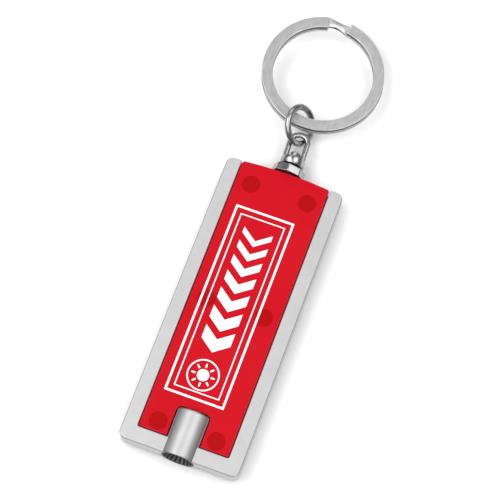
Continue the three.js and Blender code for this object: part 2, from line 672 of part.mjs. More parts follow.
// The bail is made about the middle of its base, which the lean turns it round.
function bail() {
  const low = -BAIL_BASE_HEIGHT / 2;
  const high = BAIL_BASE_HEIGHT / 2;
  const archY = BAIL_ARCH_Y - BAIL_MIDDLE;
  const base = turned(disc(BAIL_BASE_RADIUS, low, high), 32);
  const arch = new THREE.Curve();
  arch.getPoint = (t) => {
    const straight = archY / (2 * archY + Math.PI * BAIL_LEG_X);
    if (t < straight) return new THREE.Vector3(-BAIL_LEG_X, (archY * t) / straight, 0);
    if (t > 1 - straight) return new THREE.Vector3(BAIL_LEG_X, (archY * (1 - t)) / straight, 0);
    const angle = (Math.PI * (t - straight)) / (1 - 2 * straight);
    return new THREE.Vector3(-BAIL_LEG_X * Math.cos(angle), archY + BAIL_LEG_X * Math.sin(angle), 0);
  };
  const loop = bentWire(arch, BAIL_WIRE_RADIUS, 40);
  const hole = turned(disc(STUD_RADIUS + SWIVEL_CLEARANCE, low - 1, high + 1), SMALL_STEPS);
  return cut(joined(base, loop), hole);
}

// ---- Rings, each made flat about its own centre ----
function jumpRing() {
  const gap = JUMP_RING_SEAM / JUMP_MID_RADIUS;
  const start = THREE.MathUtils.degToRad(JUMP_RING_SEAM_ANGLE) + gap / 2;
  const path = new THREE.Curve();
  path.getPoint = (t) => {
    const angle = start + t * (2 * Math.PI - gap);
    return new THREE.Vector3(JUMP_MID_RADIUS * Math.cos(angle), JUMP_MID_RADIUS * Math.sin(angle), 0);
  };
  return bentWire(path, JUMP_WIRE_RADIUS, 48);
}

// Two turns of flat wire: the upper turn runs clockwise from its end, steps down
// through the jog and goes on as the lower turn.
function splitRing() {
  const turn = 360 - SPLIT_JOG;
  const sweep = 2 * turn + SPLIT_JOG;
  const upper = SPLIT_LAYER_PITCH / 2;
  const path = new THREE.Curve();
  path.getPoint = (t) => {
    const travelled = t * sweep;
    const step = THREE.MathUtils.smoothstep(travelled, turn, turn + SPLIT_JOG);
    const angle = THREE.MathUtils.degToRad(SPLIT_UPPER_END - travelled);
    const height = upper - SPLIT_LAYER_PITCH * step;
    return new THREE.Vector3(SPLIT_MID_RADIUS * Math.cos(angle), SPLIT_MID_RADIUS * Math.sin(angle), height);
  };
  const half = SPLIT_LAYER_THICKNESS / 2;
  const across = SPLIT_BAND_WIDTH / 2;
  const section = new THREE.Shape();
  section.moveTo(-half, -across);
  section.lineTo(half, -across);
  section.lineTo(half, across);
  section.lineTo(-half, across);
  section.closePath();
  return solidOf(new THREE.ExtrudeGeometry(section, { extrudePath: path, steps: 132, curveSegments: 1 }));
}

// ---- Assembly ----
const flashlight = new THREE.Group();
flashlight.position.set(0, -BODY_LENGTH / 2, COVER_FACE);

function place(name, solid, material, group = flashlight) {
  const mesh = new THREE.Mesh(geometryOf(solid), material);
  mesh.name = name;
  group.add(mesh);
  return mesh;
}

place('frame', frame(), silverPaint);
place('front_cover', frontCover(), redPlastic);
place('back_cover', backCover(), redPlastic);
place('front_liner', frontLiner(), whiteCard);
place('back_liner', backLiner(), whiteCard);
place('cell_holder', cellHolder(), whitePlastic);
place('battery_can', batteryCan(), cellSteel);
place('battery_gasket', batteryGasket(), gasketPlastic);
place('battery_cap', batteryCap(), cellSteel);
place('battery_cathode_pellet', batteryPellet(), cathodeMix);
place('battery_separator', batterySeparator(), separatorFelt);
place('battery_lithium_disc', batteryLithium(), lithiumMetal);
place('led_lens', ledLens(), clearEpoxy);
place('led_cathode_lead', cathodeLead(), tinnedSteel);
place('led_anode_lead', anodeLead(), tinnedSteel);
place('led_chip', ledChip(), phosphor);
place('contact_leaf', cathodeLeaf(), phosphorBronze);
place('contact_strip', anodeStrip(), phosphorBronze);
place('swivel_stud', swivelStud(), polishedSteel);
place('swivel_collar', swivelCollar(), polishedSteel);
place('swivel_washer', swivelWasher(), blackNylon);

const bailGroup = new THREE.Group();
bailGroup.position.set(0, BAIL_MIDDLE, 0);
bailGroup.rotation.z = THREE.MathUtils.degToRad(BAIL_LEAN);
flashlight.add(bailGroup);
place('bail', bail(), polishedSteel, bailGroup);

// The jump ring hangs in the bail's arch: its plane holds the Y direction and is turned
// about it, and it has rolled round so that its wire lies in the arch off its lowest point.
const turnAngle = THREE.MathUtils.degToRad(JUMP_RING_TURN);
const rollAngle = THREE.MathUtils.degToRad(JUMP_RING_ROLL);
const lean = THREE.MathUtils.degToRad(BAIL_LEAN);
const archTop = BAIL_ARCH_Y - BAIL_MIDDLE + BAIL_LEG_X;
const wireBelowArch = BAIL_WIRE_RADIUS + JUMP_WIRE_RADIUS + JUMP_RING_SLACK;
const crossing = new THREE.Vector3(-Math.sin(lean), Math.cos(lean), 0).multiplyScalar(archTop - wireBelowArch);
crossing.x += JUMP_RING_SIDE;
const across = JUMP_MID_RADIUS * Math.sin(rollAngle);
const ringGroup = new THREE.Group();
ringGroup.position.set(
  crossing.x - across * Math.cos(turnAngle),
  BAIL_MIDDLE + crossing.y + JUMP_MID_RADIUS * Math.cos(rollAngle),
  across * Math.sin(turnAngle),
);
flashlight.add(ringGroup);
const jumpRingMesh = place('jump_ring', jumpRing(), polishedSteel, ringGroup);
jumpRingMesh.rotation.y = turnAngle;

// The split ring's near band passes through the jump ring's middle.
const splitMesh = place('split_ring', splitRing(), brushedSteel, ringGroup);
splitMesh.position.set(SPLIT_CENTRE_SIDE, SPLIT_BAND_AHEAD + SPLIT_MID_RADIUS, 0);
splitMesh.rotation.y = THREE.MathUtils.degToRad(SPLIT_RING_ROLL);

export default flashlight;
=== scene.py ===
"""Keychain flashlight: the finished look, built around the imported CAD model."""
import math

import bmesh
import bpy
from mathutils import Matrix, Vector


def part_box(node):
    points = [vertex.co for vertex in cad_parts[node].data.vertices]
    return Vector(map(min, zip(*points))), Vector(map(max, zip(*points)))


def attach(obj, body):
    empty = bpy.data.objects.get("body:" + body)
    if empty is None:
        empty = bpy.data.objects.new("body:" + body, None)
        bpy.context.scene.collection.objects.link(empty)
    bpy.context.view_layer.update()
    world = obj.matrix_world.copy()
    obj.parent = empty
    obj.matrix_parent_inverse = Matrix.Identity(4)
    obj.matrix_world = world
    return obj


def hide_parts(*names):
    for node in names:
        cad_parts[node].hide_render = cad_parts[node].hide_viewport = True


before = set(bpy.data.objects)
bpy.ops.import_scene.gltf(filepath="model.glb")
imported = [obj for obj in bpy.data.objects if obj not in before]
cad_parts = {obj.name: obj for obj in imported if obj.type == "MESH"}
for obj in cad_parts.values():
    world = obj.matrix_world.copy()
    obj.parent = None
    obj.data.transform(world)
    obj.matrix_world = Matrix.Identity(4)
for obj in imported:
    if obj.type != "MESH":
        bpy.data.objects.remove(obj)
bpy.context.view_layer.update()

# ---------------------------------------------------------------------------
# Sizes. Pieces are modelled in millimetres and turned to metres when finished.
# ---------------------------------------------------------------------------
MM = 0.001


def mm_box(node):
    """Lowest and highest corners of a CAD node, in millimetres."""
    low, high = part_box(node)
    return low / MM, high / MM


frame_low, frame_high = mm_box("frame")
front_low, front_high = mm_box("front_cover")
back_low = mm_box("back_cover")[0]
lens_low, lens_high = mm_box("led_lens")
collar_low, collar_high = mm_box("swivel_collar")
stud_low, stud_high = mm_box("swivel_stud")
washer_low, washer_high = mm_box("swivel_washer")
bail_low = mm_box("bail")[0]
jump_low, jump_high = mm_box("jump_ring")
split_low, split_high = mm_box("split_ring")

MIDDLE_Z = (frame_low.z + frame_high.z) / 2
BODY_HALF = frame_high.x
BODY_START = frame_low.y
BODY_END = frame_high.y
COVER_FRONT = front_high.z
COVER_HALF = front_high.x
COVER_RECESS = 0.1
FACE_FRONT = COVER_FRONT + COVER_RECESS
FACE_BACK = 2 * MIDDLE_Z - FACE_FRONT

RAIL_WIDTH = 3.0
END_BAR_WIDTH = 3.3
OPENING_HALF = BODY_HALF - RAIL_WIDTH
TONGUE_DEPTH = 0.4
TONGUE_BACK, TONGUE_FRONT = MIDDLE_Z - 1.3, MIDDLE_Z + 1.1
TONGUE_SHORT_OF_END = 1.15
OUTER_CORNER = 1.5
INNER_CORNER = 0.4
EDGE_ROUNDING = 0.3
BARREL_RADIUS = (frame_high.z - frame_low.z) / 2
BARREL_LENGTH = 9.8
BARREL_ROUNDING = 0.55
CORE_INSIDE_WALL = 0.3
CORE_LENGTH = BARREL_LENGTH - 1
OVERSHOOT = 1
MOUTH_RIM = 0.28
MOUTH_DEPTH = 1.7
# Number of stripes of painted highlights round the lamp's mouth.
MOUTH_RIB_GLINTS = 22
MOUTH_STEPS = 5
MOUTH_STEP_RISE, MOUTH_STEP_SLOPE = 0.22, 0.02
MOUTH_STEPS_MARGIN = 0.1
MOUTH_LIP_IN, MOUTH_LIP_DEEP = 0.04, 0.06
MOUTH_TUBE = 0.5
MOUTH_SOFTENING = 0.1
MOUTH_SHADE_RADIUS = BARREL_RADIUS - 0.2
MOUTH_SHADE_START = 0.05
BARREL_SHADE_START = 0.05
OPENING_SHADE_MARGIN = 0.02
LED_RADIUS = 2.5
LED_CLEARANCE = 0.08
FLANGE_ROOM = 0.5
FLANGE_SEAT_DEPTH = 1.3
FLANGE_THICKNESS = 1.0
FLANGE_SOFTENING = 0.12
COVER_THICKNESS = 0.7
COVER_SPREAD = 0.14
SPREAD_REACH = 0.14
SPREAD_DEPTH = COVER_THICKNESS + 0.05
COVER_ROUNDING = 0.22
BOSS_RADIUS = 1.9
BOSS_X = 6.15
BOSS_ROWS = (BODY_START + 5.65, BODY_START + 32.95, BODY_END - 4.4)

STUD_RADIUS = 0.85
ANCHOR_THICKNESS = 1.0
ANCHOR_HEIGHT = 1.8
STUD_HEAD_RADIUS = 1.1
STUD_HEAD_HEIGHT = 1.4
STUD_HEAD_CHAMFER = 0.12
# The crown's corners, as distances in from the rim and down from the top.
STUD_HEAD_CROWN = ((0, 0.42), (0.1, 0.22), (0.35, 0.07))
ANCHOR_SOFTENING = 0.1
ANCHOR_OVERLAP = 0.1
COLLAR_CORNER = 0.22
COLLAR_LIP = 0.16
SWIVEL_BORE = STUD_RADIUS + 0.06
BAIL_LEAN = math.radians(2.5)
BAIL_BASE_RADIUS = 2.55
BAIL_BASE_HEIGHT = 1.75
BAIL_WIRE = 0.6
BAIL_LEG_X = 1.85
BAIL_LEG_RISE = 3.7
BAIL_LEG_FOOT = 0.1
BAIL_BORE = STUD_RADIUS + 0.1
BAIL_BORE_CHAMFER = 0.15
BAIL_LOW_CHAMFER = 0.1
BAIL_TOP_ROUNDING = 0.22
JUMP_WIRE = 0.68
JUMP_MID = 3.85
JUMP_TURN = math.radians(52)
JUMP_SEAM = math.radians(118)
JUMP_SEAM_GAP = 0.12
JUMP_END_ROUNDING = 0.06
SPLIT_MID = 11.75
SPLIT_WIDTH = 2.3
SPLIT_LAYER = 0.93
SPLIT_PITCH = 0.98
SPLIT_CORNER = 0.16
SPLIT_END_ROUNDING = 0.05
# Height band, about the ring's middle, of the painted shade between its two turns.
SEAM_SHADE_LOW, SEAM_SHADE_HIGH = -0.14, 0.62
SPLIT_DRIFT = Vector((0.09, -0.26, 0))
SPLIT_NECK = 0.34
SPLIT_END_GAP = math.radians(1.6)
SPLIT_ROLL = math.radians(2.4)
SPLIT_UPPER_END = math.radians(83)
SPLIT_JOG = math.radians(21)
SPLIT_TURN_STEPS = 170
SPLIT_JOG_STEPS = 16

# The leaning bail's lowest corner lies this far below the middle of its base.
BAIL_LEAN_DROP = 0.11
BAIL_CENTRE = Vector((0, bail_low.y + BAIL_BASE_HEIGHT / 2 + BAIL_LEAN_DROP, MIDDLE_Z))
JUMP_CENTRE = (jump_low + jump_high) / 2
SPLIT_CENTRE = (split_low + split_high) / 2


# ---------------------------------------------------------------------------
# Mesh helpers
# ---------------------------------------------------------------------------
def polygon(bm, points, z):
    """One flat face through corner points, facing up."""
    verts = [bm.verts.new((x, y, z)) for x, y in points]
    return bm.faces.new(verts)


def round_corners(bm, picked, radius, segments=6):
    """Rounds the picked corner vertices of a flat face."""
    bmesh.ops.bevel(bm, geom=picked, offset=radius, offset_type="OFFSET", segments=segments,
                    profile=0.5, affect="VERTICES", material=-1)


def extrude_up(bm, faces, height, direction=(0, 0, 1)):
    """Extrudes a flat face into a closed block and returns its new far faces."""
    made = bmesh.ops.extrude_face_region(bm, geom=list(faces))
    verts = [g for g in made["geom"] if isinstance(g, bmesh.types.BMVert)]
    bmesh.ops.translate(bm, vec=Vector(direction) * height, verts=verts)
    return [g for g in made["geom"] if isinstance(g, bmesh.types.BMFace)]


def round_edges(bm, edges, width, segments=3):
    bmesh.ops.bevel(bm, geom=list(edges), offset=width, offset_type="OFFSET", segments=segments,
                    profile=0.5, affect="EDGES", material=-1, clamp_overlap=True)


def edges_of(verts):
    """The edges at some vertices, each once and always in the same order."""
    return list(dict.fromkeys(e for v in verts for e in v.link_edges))


def rim_edges(bm, heights, tolerance=1e-4):
    """Edges that lie flat at one of the given heights."""
    return [e for e in bm.edges
            if any(all(abs(v.co.z - z) < tolerance for v in e.verts) for z in heights)]


def spun(bm, profile, centre, axis, steps):
    """Spins a profile of points once round an axis. Points are (radius, along)."""
    axis = Vector(axis).normalized()
    side = axis.orthogonal().normalized()
    verts = [bm.verts.new(Vector(centre) + side * r + axis * h) for r, h in profile]
    edges = [bm.edges.new(pair) for pair in zip(verts, verts[1:])]
    bmesh.ops.spin(bm, geom=verts + edges, cent=centre, axis=axis, angle=2 * math.pi, steps=steps,
                   use_merge=True, use_duplicate=False)
    bmesh.ops.remove_doubles(bm, verts=bm.verts, dist=1e-5)


def arc(centre_r, centre_h, radius, start, end, count):
    """Points along an arc in a profile, angles in degrees."""
    steps = [math.radians(start + (end - start) * i / count) for i in range(count + 1)]
    return [(centre_r + radius * math.cos(a), centre_h + radius * math.sin(a)) for a in steps]


def to_object(bm, name, sharp=32, placed=None):
    """Turns the millimetre mesh into a finished object in metres, with its place in its mesh."""
    bmesh.ops.remove_doubles(bm, verts=bm.verts, dist=1e-5)
    bmesh.ops.recalc_face_normals(bm, faces=bm.faces)
    if placed:
        bmesh.ops.transform(bm, matrix=placed, verts=bm.verts)
    bmesh.ops.scale(bm, vec=(MM, MM, MM), verts=bm.verts)
    mesh = bpy.data.meshes.new(name)
    bm.to_mesh(mesh)
    bm.free()
    mesh.shade_smooth()
    mesh.set_sharp_from_angle(angle=math.radians(sharp))
    piece = bpy.data.objects.new(name, mesh)
    bpy.context.scene.collection.objects.link(piece)
    evened = piece.modifiers.new("even shading", "WEIGHTED_NORMAL")
    evened.keep_sharp = True
    evened.weight = 80
    return piece


def combined(name, first, second, operation):
    """Boolean of two closed millimetre meshes, as one closed millimetre mesh."""
    objects = []
    for bm in (first, second):
        bmesh.ops.remove_doubles(bm, verts=bm.verts, dist=1e-5)
        bmesh.ops.recalc_face_normals(bm, faces=bm.faces)
        mesh = bpy.data.meshes.new(name + "_part")
        bm.to_mesh(mesh)
        bm.free()
        obj = bpy.data.objects.new(name + "_part", mesh)
        bpy.context.scene.collection.objects.link(obj)
        objects.append(obj)
    modifier = objects[0].modifiers.new("join", "BOOLEAN")
    modifier.operation = operation
    modifier.solver = "EXACT"
    modifier.object = objects[1]
    bpy.context.view_layer.update()
    graph = bpy.context.evaluated_depsgraph_get()
    evaluated = objects[0].evaluated_get(graph)
    result = bmesh.new()
    result.from_mesh(evaluated.to_mesh())
    evaluated.to_mesh_clear()
    for obj in objects:
        bpy.data.objects.remove(obj)
    bmesh.ops.remove_doubles(result, verts=result.verts, dist=1e-4)
    return result


def place(piece, body, material, replaces=()):
    piece.data.materials.clear()
    piece.data.materials.append(material)
    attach(piece, body)
    if replaces:
        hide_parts(*replaces)
    return piece


# ---------------------------------------------------------------------------
# Shader node helpers
# ---------------------------------------------------------------------------
def node(tree, kind, inputs=None, **settings):
    made = tree.nodes.new(kind)
    for key, value in settings.items():
        setattr(made, key, value)
    for key, value in (inputs or {}).items():
        made.inputs[key].default_value = value
    return made


def link(tree, source, target):
    tree.links.new(source, target)


def maths(tree, operation, a, b=None, c=None, clamp=False):
    """A Math node; a, b and c are sockets or numbers."""
    made = node(tree, "ShaderNodeMath", operation=operation, use_clamp=clamp)
    for socket, value in zip(made.inputs, (a, b, c)):
        if value is None:
            continue
        if isinstance(value, (int, float)):
            socket.default_value = value
        else:
            link(tree, value, socket)
    return made.outputs[0]


def group(name, inputs, outputs):
    """A shader node group with named sockets; returns the tree, its input and its output."""
    tree = bpy.data.node_groups.new(name, "ShaderNodeTree")
    for label, kind, default in inputs:
        socket = tree.interface.new_socket(label, in_out="INPUT", socket_type=kind)
        if default is not None:
            socket.default_value = default
    for label, kind in outputs:
        tree.interface.new_socket(label, in_out="OUTPUT", socket_type=kind)
    return tree, tree.nodes.new("NodeGroupInput"), tree.nodes.new("NodeGroupOutput")


def use_group(tree, made_group, vector, **values):
    placed = node(tree, "ShaderNodeGroup", node_tree=made_group)
    link(tree, vector, placed.inputs["Vector"])
    for key, value in values.items():
        placed.inputs[key.replace("_", " ")].default_value = value
    return placed


def length_of(tree, a, b):
    """Distance from the axis to the point with coordinates a and b."""
    squares = maths(tree, "ADD", maths(tree, "MULTIPLY", a, a), maths(tree, "MULTIPLY", b, b))
    return maths(tree, "SQRT", squares)


def grain_group():
    """Fine speckle and slow mottling, both about 0 to 1."""
    tree, source, target = group(
        "fine_grain",
        [("Vector", "NodeSocketVector", None), ("Speckle Scale", "NodeSocketFloat", 5000.0),
         ("Mottle Scale", "NodeSocketFloat", 400.0)],
        [("Speckle", "NodeSocketFloat"), ("Mottle", "NodeSocketFloat")],
    )
    for label, scale, detail in (("Speckle", "Speckle Scale", 2.0), ("Mottle", "Mottle Scale", 4.0)):
        noise = node(tree, "ShaderNodeTexNoise", {"Detail": detail, "Roughness": 0.6})
        link(tree, source.outputs["Vector"], noise.inputs["Vector"])
        link(tree, source.outputs[scale], noise.inputs["Scale"])
        link(tree, noise.outputs["Fac"], target.inputs[label])
    return tree


def ring_brush_group():
    """Brush lines that run round an upright axis through the origin of its vector."""
    tree, source, target = group(
        "ring_brush",
        [("Vector", "NodeSocketVector", None), ("Line Scale", "NodeSocketFloat", 9000.0),
         ("Length Scale", "NodeSocketFloat", 6.0)],
        [("Lines", "NodeSocketFloat"), ("Cross", "NodeSocketFloat")],
    )
    split = node(tree, "ShaderNodeSeparateXYZ")
    link(tree, source.outputs["Vector"], split.inputs[0])
    x, y, z = split.outputs
    radius = length_of(tree, x, y)
    angle = maths(tree, "ARCTAN2", y, x)
    polar = node(tree, "ShaderNodeCombineXYZ")
    link(tree, maths(tree, "MULTIPLY", radius, source.outputs["Line Scale"]), polar.inputs[0])
    link(tree, maths(tree, "MULTIPLY", angle, source.outputs["Length Scale"]), polar.inputs[1])
    link(tree, maths(tree, "MULTIPLY", z, source.outputs["Line Scale"]), polar.inputs[2])
    lines = node(tree, "ShaderNodeTexNoise", {"Scale": 1.0, "Detail": 3.0, "Roughness": 0.65})
    link(tree, polar.outputs[0], lines.inputs["Vector"])
    link(tree, lines.outputs["Fac"], target.inputs["Lines"])
    stretch = node(tree, "ShaderNodeMapping")
    stretch.inputs["Rotation"].default_value = (0, 0, 0.6)
    stretch.inputs["Scale"].default_value = (3000, 220, 3000)
    link(tree, source.outputs["Vector"], stretch.inputs["Vector"])
    cross = node(tree, "ShaderNodeTexNoise", {"Scale": 1.0, "Detail": 2.0, "Roughness": 0.5})
    link(tree, stretch.outputs[0], cross.inputs["Vector"])
    link(tree, cross.outputs["Fac"], target.inputs["Cross"])
    return tree


def boss_group():
    """1 over the six round bosses behind a cover and 0 elsewhere."""
    tree, source, target = group(
        "boss_shadow",
        [("Vector", "NodeSocketVector", None), ("Softness", "NodeSocketFloat", 0.00014)],
        [("Mask", "NodeSocketFloat")],
    )
    split = node(tree, "ShaderNodeSeparateXYZ")
    link(tree, source.outputs["Vector"], split.inputs[0])
    across = maths(tree, "SUBTRACT", maths(tree, "ABSOLUTE", split.outputs[0]), BOSS_X * MM)
    nearest = None
    for row in BOSS_ROWS:
        along = maths(tree, "ABSOLUTE", maths(tree, "SUBTRACT", split.outputs[1], row * MM))
        nearest = along if nearest is None else maths(tree, "MINIMUM", nearest, along)
    inside = maths(tree, "SUBTRACT", BOSS_RADIUS * MM, length_of(tree, across, nearest))
    mask = maths(tree, "ADD", maths(tree, "DIVIDE", inside, source.outputs["Softness"]), 0.5, clamp=True)
    link(tree, mask, target.inputs["Mask"])
    return tree


def mouth_group():
    """A mask of the lamp's mouth, for painted shade inside it, and radial stripes of painted highlights on
    the ribs that run into it.
    """
    tree, source, target = group(
        "mouth_shade",
        [("Vector", "NodeSocketVector", None), ("Radius", "NodeSocketFloat", MOUTH_SHADE_RADIUS * MM),
         ("Depth", "NodeSocketFloat", MOUTH_SHADE_START * MM)],
        [("Mask", "NodeSocketFloat"), ("Rib Glints", "NodeSocketFloat")],
    )
    split = node(tree, "ShaderNodeSeparateXYZ")
    link(tree, source.outputs["Vector"], split.inputs[0])
    x, y, z = split.outputs
    angle = maths(tree, "ARCTAN2", z, x)
    # Painted highlights: bright stripes round the mouth's axis.
    wave = maths(tree, "SINE", maths(tree, "MULTIPLY", angle, MOUTH_RIB_GLINTS))
    ribs = maths(tree, "MULTIPLY_ADD", wave, 0.5, 0.5)
    link(tree, maths(tree, "POWER", ribs, 3.0), target.inputs["Rib Glints"])
    radius = length_of(tree, x, z)
    within = maths(tree, "LESS_THAN", radius, source.outputs["Radius"])
    behind = maths(tree, "GREATER_THAN", y, source.outputs["Depth"])
    near = maths(tree, "LESS_THAN", y, CORE_LENGTH * MM)
    link(tree, maths(tree, "MULTIPLY", within, maths(tree, "MULTIPLY", behind, near)), target.inputs["Mask"])
    return tree


FINE_GRAIN = grain_group()
RING_BRUSH = ring_brush_group()
BOSS_SHADOW = boss_group()
MOUTH_SHADE = mouth_group()


class Finish:
    """A material with its Principled shader and Object coordinates ready to use."""

    def __init__(self, name, color, roughness, metallic=0.0, **plain):
        self.material = bpy.data.materials.new(name)
        self.material.use_nodes = True
        self.tree = self.material.node_tree
        self.shader = self.tree.nodes["Principled BSDF"]
        self.shader.inputs["Base Color"].default_value = (*color, 1)
        self.shader.inputs["Roughness"].default_value = roughness
        self.shader.inputs["Metallic"].default_value = metallic
        for key, value in plain.items():
            self.shader.inputs[key.replace("_", " ")].default_value = value
        coordinates = node(self.tree, "ShaderNodeTexCoord")
        self.object_vector = coordinates.outputs["Object"]
        self.object_normal = coordinates.outputs["Normal"]

    def grain(self, speckle=5000.0, mottle=400.0):
        return use_group(self.tree, FINE_GRAIN, self.object_vector,
                         Speckle_Scale=speckle, Mottle_Scale=mottle)

    def centred(self, centre, rotation=(0, 0, 0)):
        """Object coordinates about a point, in millimetres, turned back by a rotation."""
        moved = node(self.tree, "ShaderNodeVectorMath", operation="SUBTRACT")
        link(self.tree, self.object_vector, moved.inputs[0])
        moved.inputs[1].default_value = Vector(centre) * MM
        turned = node(self.tree, "ShaderNodeVectorRotate", rotation_type="EULER_XYZ", invert=True)
        link(self.tree, moved.outputs[0], turned.inputs["Vector"])
        turned.inputs["Rotation"].default_value = rotation
        return turned.outputs[0]

    def steepness(self):
        """0 on faces that lie flat in the object, up to 1 on its side walls."""
        parts = node(self.tree, "ShaderNodeSeparateXYZ")
        link(self.tree, self.object_normal, parts.inputs[0])
        flat = maths(self.tree, "ABSOLUTE", parts.outputs[2])
        return maths(self.tree, "SUBTRACT", 1.0, flat, clamp=True)

    def color_between(self, factor, low, high):
        mix = node(self.tree, "ShaderNodeMix", data_type="RGBA")
        link(self.tree, factor, mix.inputs[0])
        color_a, color_b, color_result = mix.inputs[6], mix.inputs[7], mix.outputs[2]
        for socket, color in ((color_a, low), (color_b, high)):
            if hasattr(color, "is_linked"):
                link(self.tree, color, socket)
            else:
                socket.default_value = (*color, 1)
        return color_result

    def base(self, color):
        link(self.tree, color, self.shader.inputs["Base Color"])
        return self

    def rough(self, factor, low, high):
        spread = node(self.tree, "ShaderNodeMapRange", {"To Min": low, "To Max": high})
        link(self.tree, factor, spread.inputs["Value"])
        link(self.tree, spread.outputs[0], self.shader.inputs["Roughness"])
        return self

    def bump(self, height, strength, distance):
        made = node(self.tree, "ShaderNodeBump", {"Strength": strength, "Distance": distance})
        link(self.tree, height, made.inputs["Height"])
        link(self.tree, made.outputs[0], self.shader.inputs["Normal"])
        return self


# ---------------------------------------------------------------------------
# Finishes
# ---------------------------------------------------------------------------
def silver_paint():
    """Silver paint with painted shade: darker on the outer edge roundings and round the barrel's sides,
    painted dark red shade and reflection beside the covers, and a painted dark mouth with painted highlight
    stripes.
    """
    made = Finish("silver_paint", (0.5, 0.505, 0.51), 0.42, 0.45)
    tree = made.tree
    grain = made.grain(5200.0, 350.0)
    flake = made.color_between(grain.outputs["Mottle"], (0.38, 0.38, 0.38), (0.56, 0.56, 0.56))
    flake = made.color_between(grain.outputs["Speckle"], flake, (0.51, 0.51, 0.51))
    place_in_body = node(tree, "ShaderNodeSeparateXYZ")
    link(tree, made.object_vector, place_in_body.inputs[0])
    across = maths(tree, "ABSOLUTE", place_in_body.outputs[0])
    along, height = place_in_body.outputs[1], place_in_body.outputs[2]
    lift = maths(tree, "ABSOLUTE", maths(tree, "SUBTRACT", height, MIDDLE_Z * MM))
    face_lift = FACE_FRONT - MIDDLE_Z
    steep = made.steepness()
    # Painted shade: the barrel's side walls are painted dark grey, as if turned away from the light.
    on_barrel = maths(tree, "MULTIPLY", maths(tree, "LESS_THAN", across, BARREL_RADIUS * MM),
                      maths(tree, "GREATER_THAN", lift, (face_lift + BARREL_SHADE_START) * MM))
    barrel_side_shade = maths(tree, "MULTIPLY", maths(tree, "MULTIPLY", steep, 2.3, clamp=True), on_barrel)
    color = made.color_between(barrel_side_shade, flake, (0.16, 0.163, 0.165))
    # Painted shade: the outer edge roundings are painted darker.
    outer = maths(tree, "MAXIMUM", maths(tree, "GREATER_THAN", across, (BODY_HALF - EDGE_ROUNDING) * MM),
                  maths(tree, "LESS_THAN", along, (BODY_START + EDGE_ROUNDING) * MM))
    turn = maths(tree, "MULTIPLY", steep, maths(tree, "SUBTRACT", 1.0, steep))
    edge = maths(tree, "MULTIPLY", maths(tree, "MULTIPLY", turn, 4.0, clamp=True), outer)
    color = made.color_between(maths(tree, "MULTIPLY", edge, 0.7), color, (0.14, 0.14, 0.142))
    # Painted shade and painted red reflection: the frame's walls deep in the gap beside the covers are
    # painted dark red.
    opening_edge = OPENING_HALF + OPENING_SHADE_MARGIN
    opening_start = BODY_START + END_BAR_WIDTH - OPENING_SHADE_MARGIN
    in_opening = maths(tree, "MULTIPLY", maths(tree, "LESS_THAN", across, opening_edge * MM),
                       maths(tree, "GREATER_THAN", along, opening_start * MM))
    deep = maths(tree, "LESS_THAN", lift, (face_lift - EDGE_ROUNDING) * MM)
    gap_red_shade = maths(tree, "MULTIPLY", in_opening, deep)
    color = made.color_between(gap_red_shade, color, (0.2, 0.01, 0.016))
    # Painted shade darkens the lamp's mouth, with stripes of painted highlights on its ribs.
    mouth = use_group(tree, MOUTH_SHADE, made.centred((0, BODY_START, MIDDLE_Z)))
    rib_glints = made.color_between(mouth.outputs["Rib Glints"], (0.025, 0.025, 0.025), (0.2, 0.2, 0.205))
    made.base(made.color_between(mouth.outputs["Mask"], color, rib_glints))
    made.rough(grain.outputs["Speckle"], 0.34, 0.5)
    made.bump(grain.outputs["Speckle"], 0.14, 0.00004)
    return made.material


def red_plastic():
    made = Finish("red_plastic", (0.55, 0.005, 0.012), 0.2, 0.0, IOR=1.49, Specular_IOR_Level=0.22)
    grain = made.grain(2500.0, 60.0)
    boss = use_group(made.tree, BOSS_SHADOW, made.object_vector)
    plain = made.color_between(grain.outputs["Mottle"], (0.48, 0.001, 0.008), (0.54, 0.004, 0.013))
    shaded = made.color_between(boss.outputs["Mask"], plain, (0.37, 0.0, 0.0015))
    # Painted shade: the cover's side walls and edge roundings are painted dark red.
    wall = made.steepness()
    made.base(made.color_between(wall, shaded, (0.11, 0.001, 0.002)))
    made.rough(grain.outputs["Mottle"], 0.16, 0.28)
    made.bump(grain.outputs["Speckle"], 0.03, 0.00002)
    return made.material


def white_ink():
    made = Finish("white_ink", (0.93, 0.93, 0.93), 0.42)
    grain = made.grain(9000.0, 900.0)
    made.base(made.color_between(grain.outputs["Mottle"], (0.88, 0.87, 0.87), (0.97, 0.97, 0.97)))
    made.rough(grain.outputs["Speckle"], 0.35, 0.55)
    made.bump(grain.outputs["Speckle"], 0.1, 0.00001)
    return made.material


def polished_steel():
    made = Finish("polished_steel", (0.55, 0.555, 0.56), 0.22, 1.0)
    grain = made.grain(6000.0, 900.0)
    made.base(made.color_between(grain.outputs["Mottle"], (0.2, 0.202, 0.206), (0.5, 0.502, 0.506)))
    made.rough(grain.outputs["Mottle"], 0.16, 0.34)
    made.bump(grain.outputs["Speckle"], 0.12, 0.00001)
    return made.material


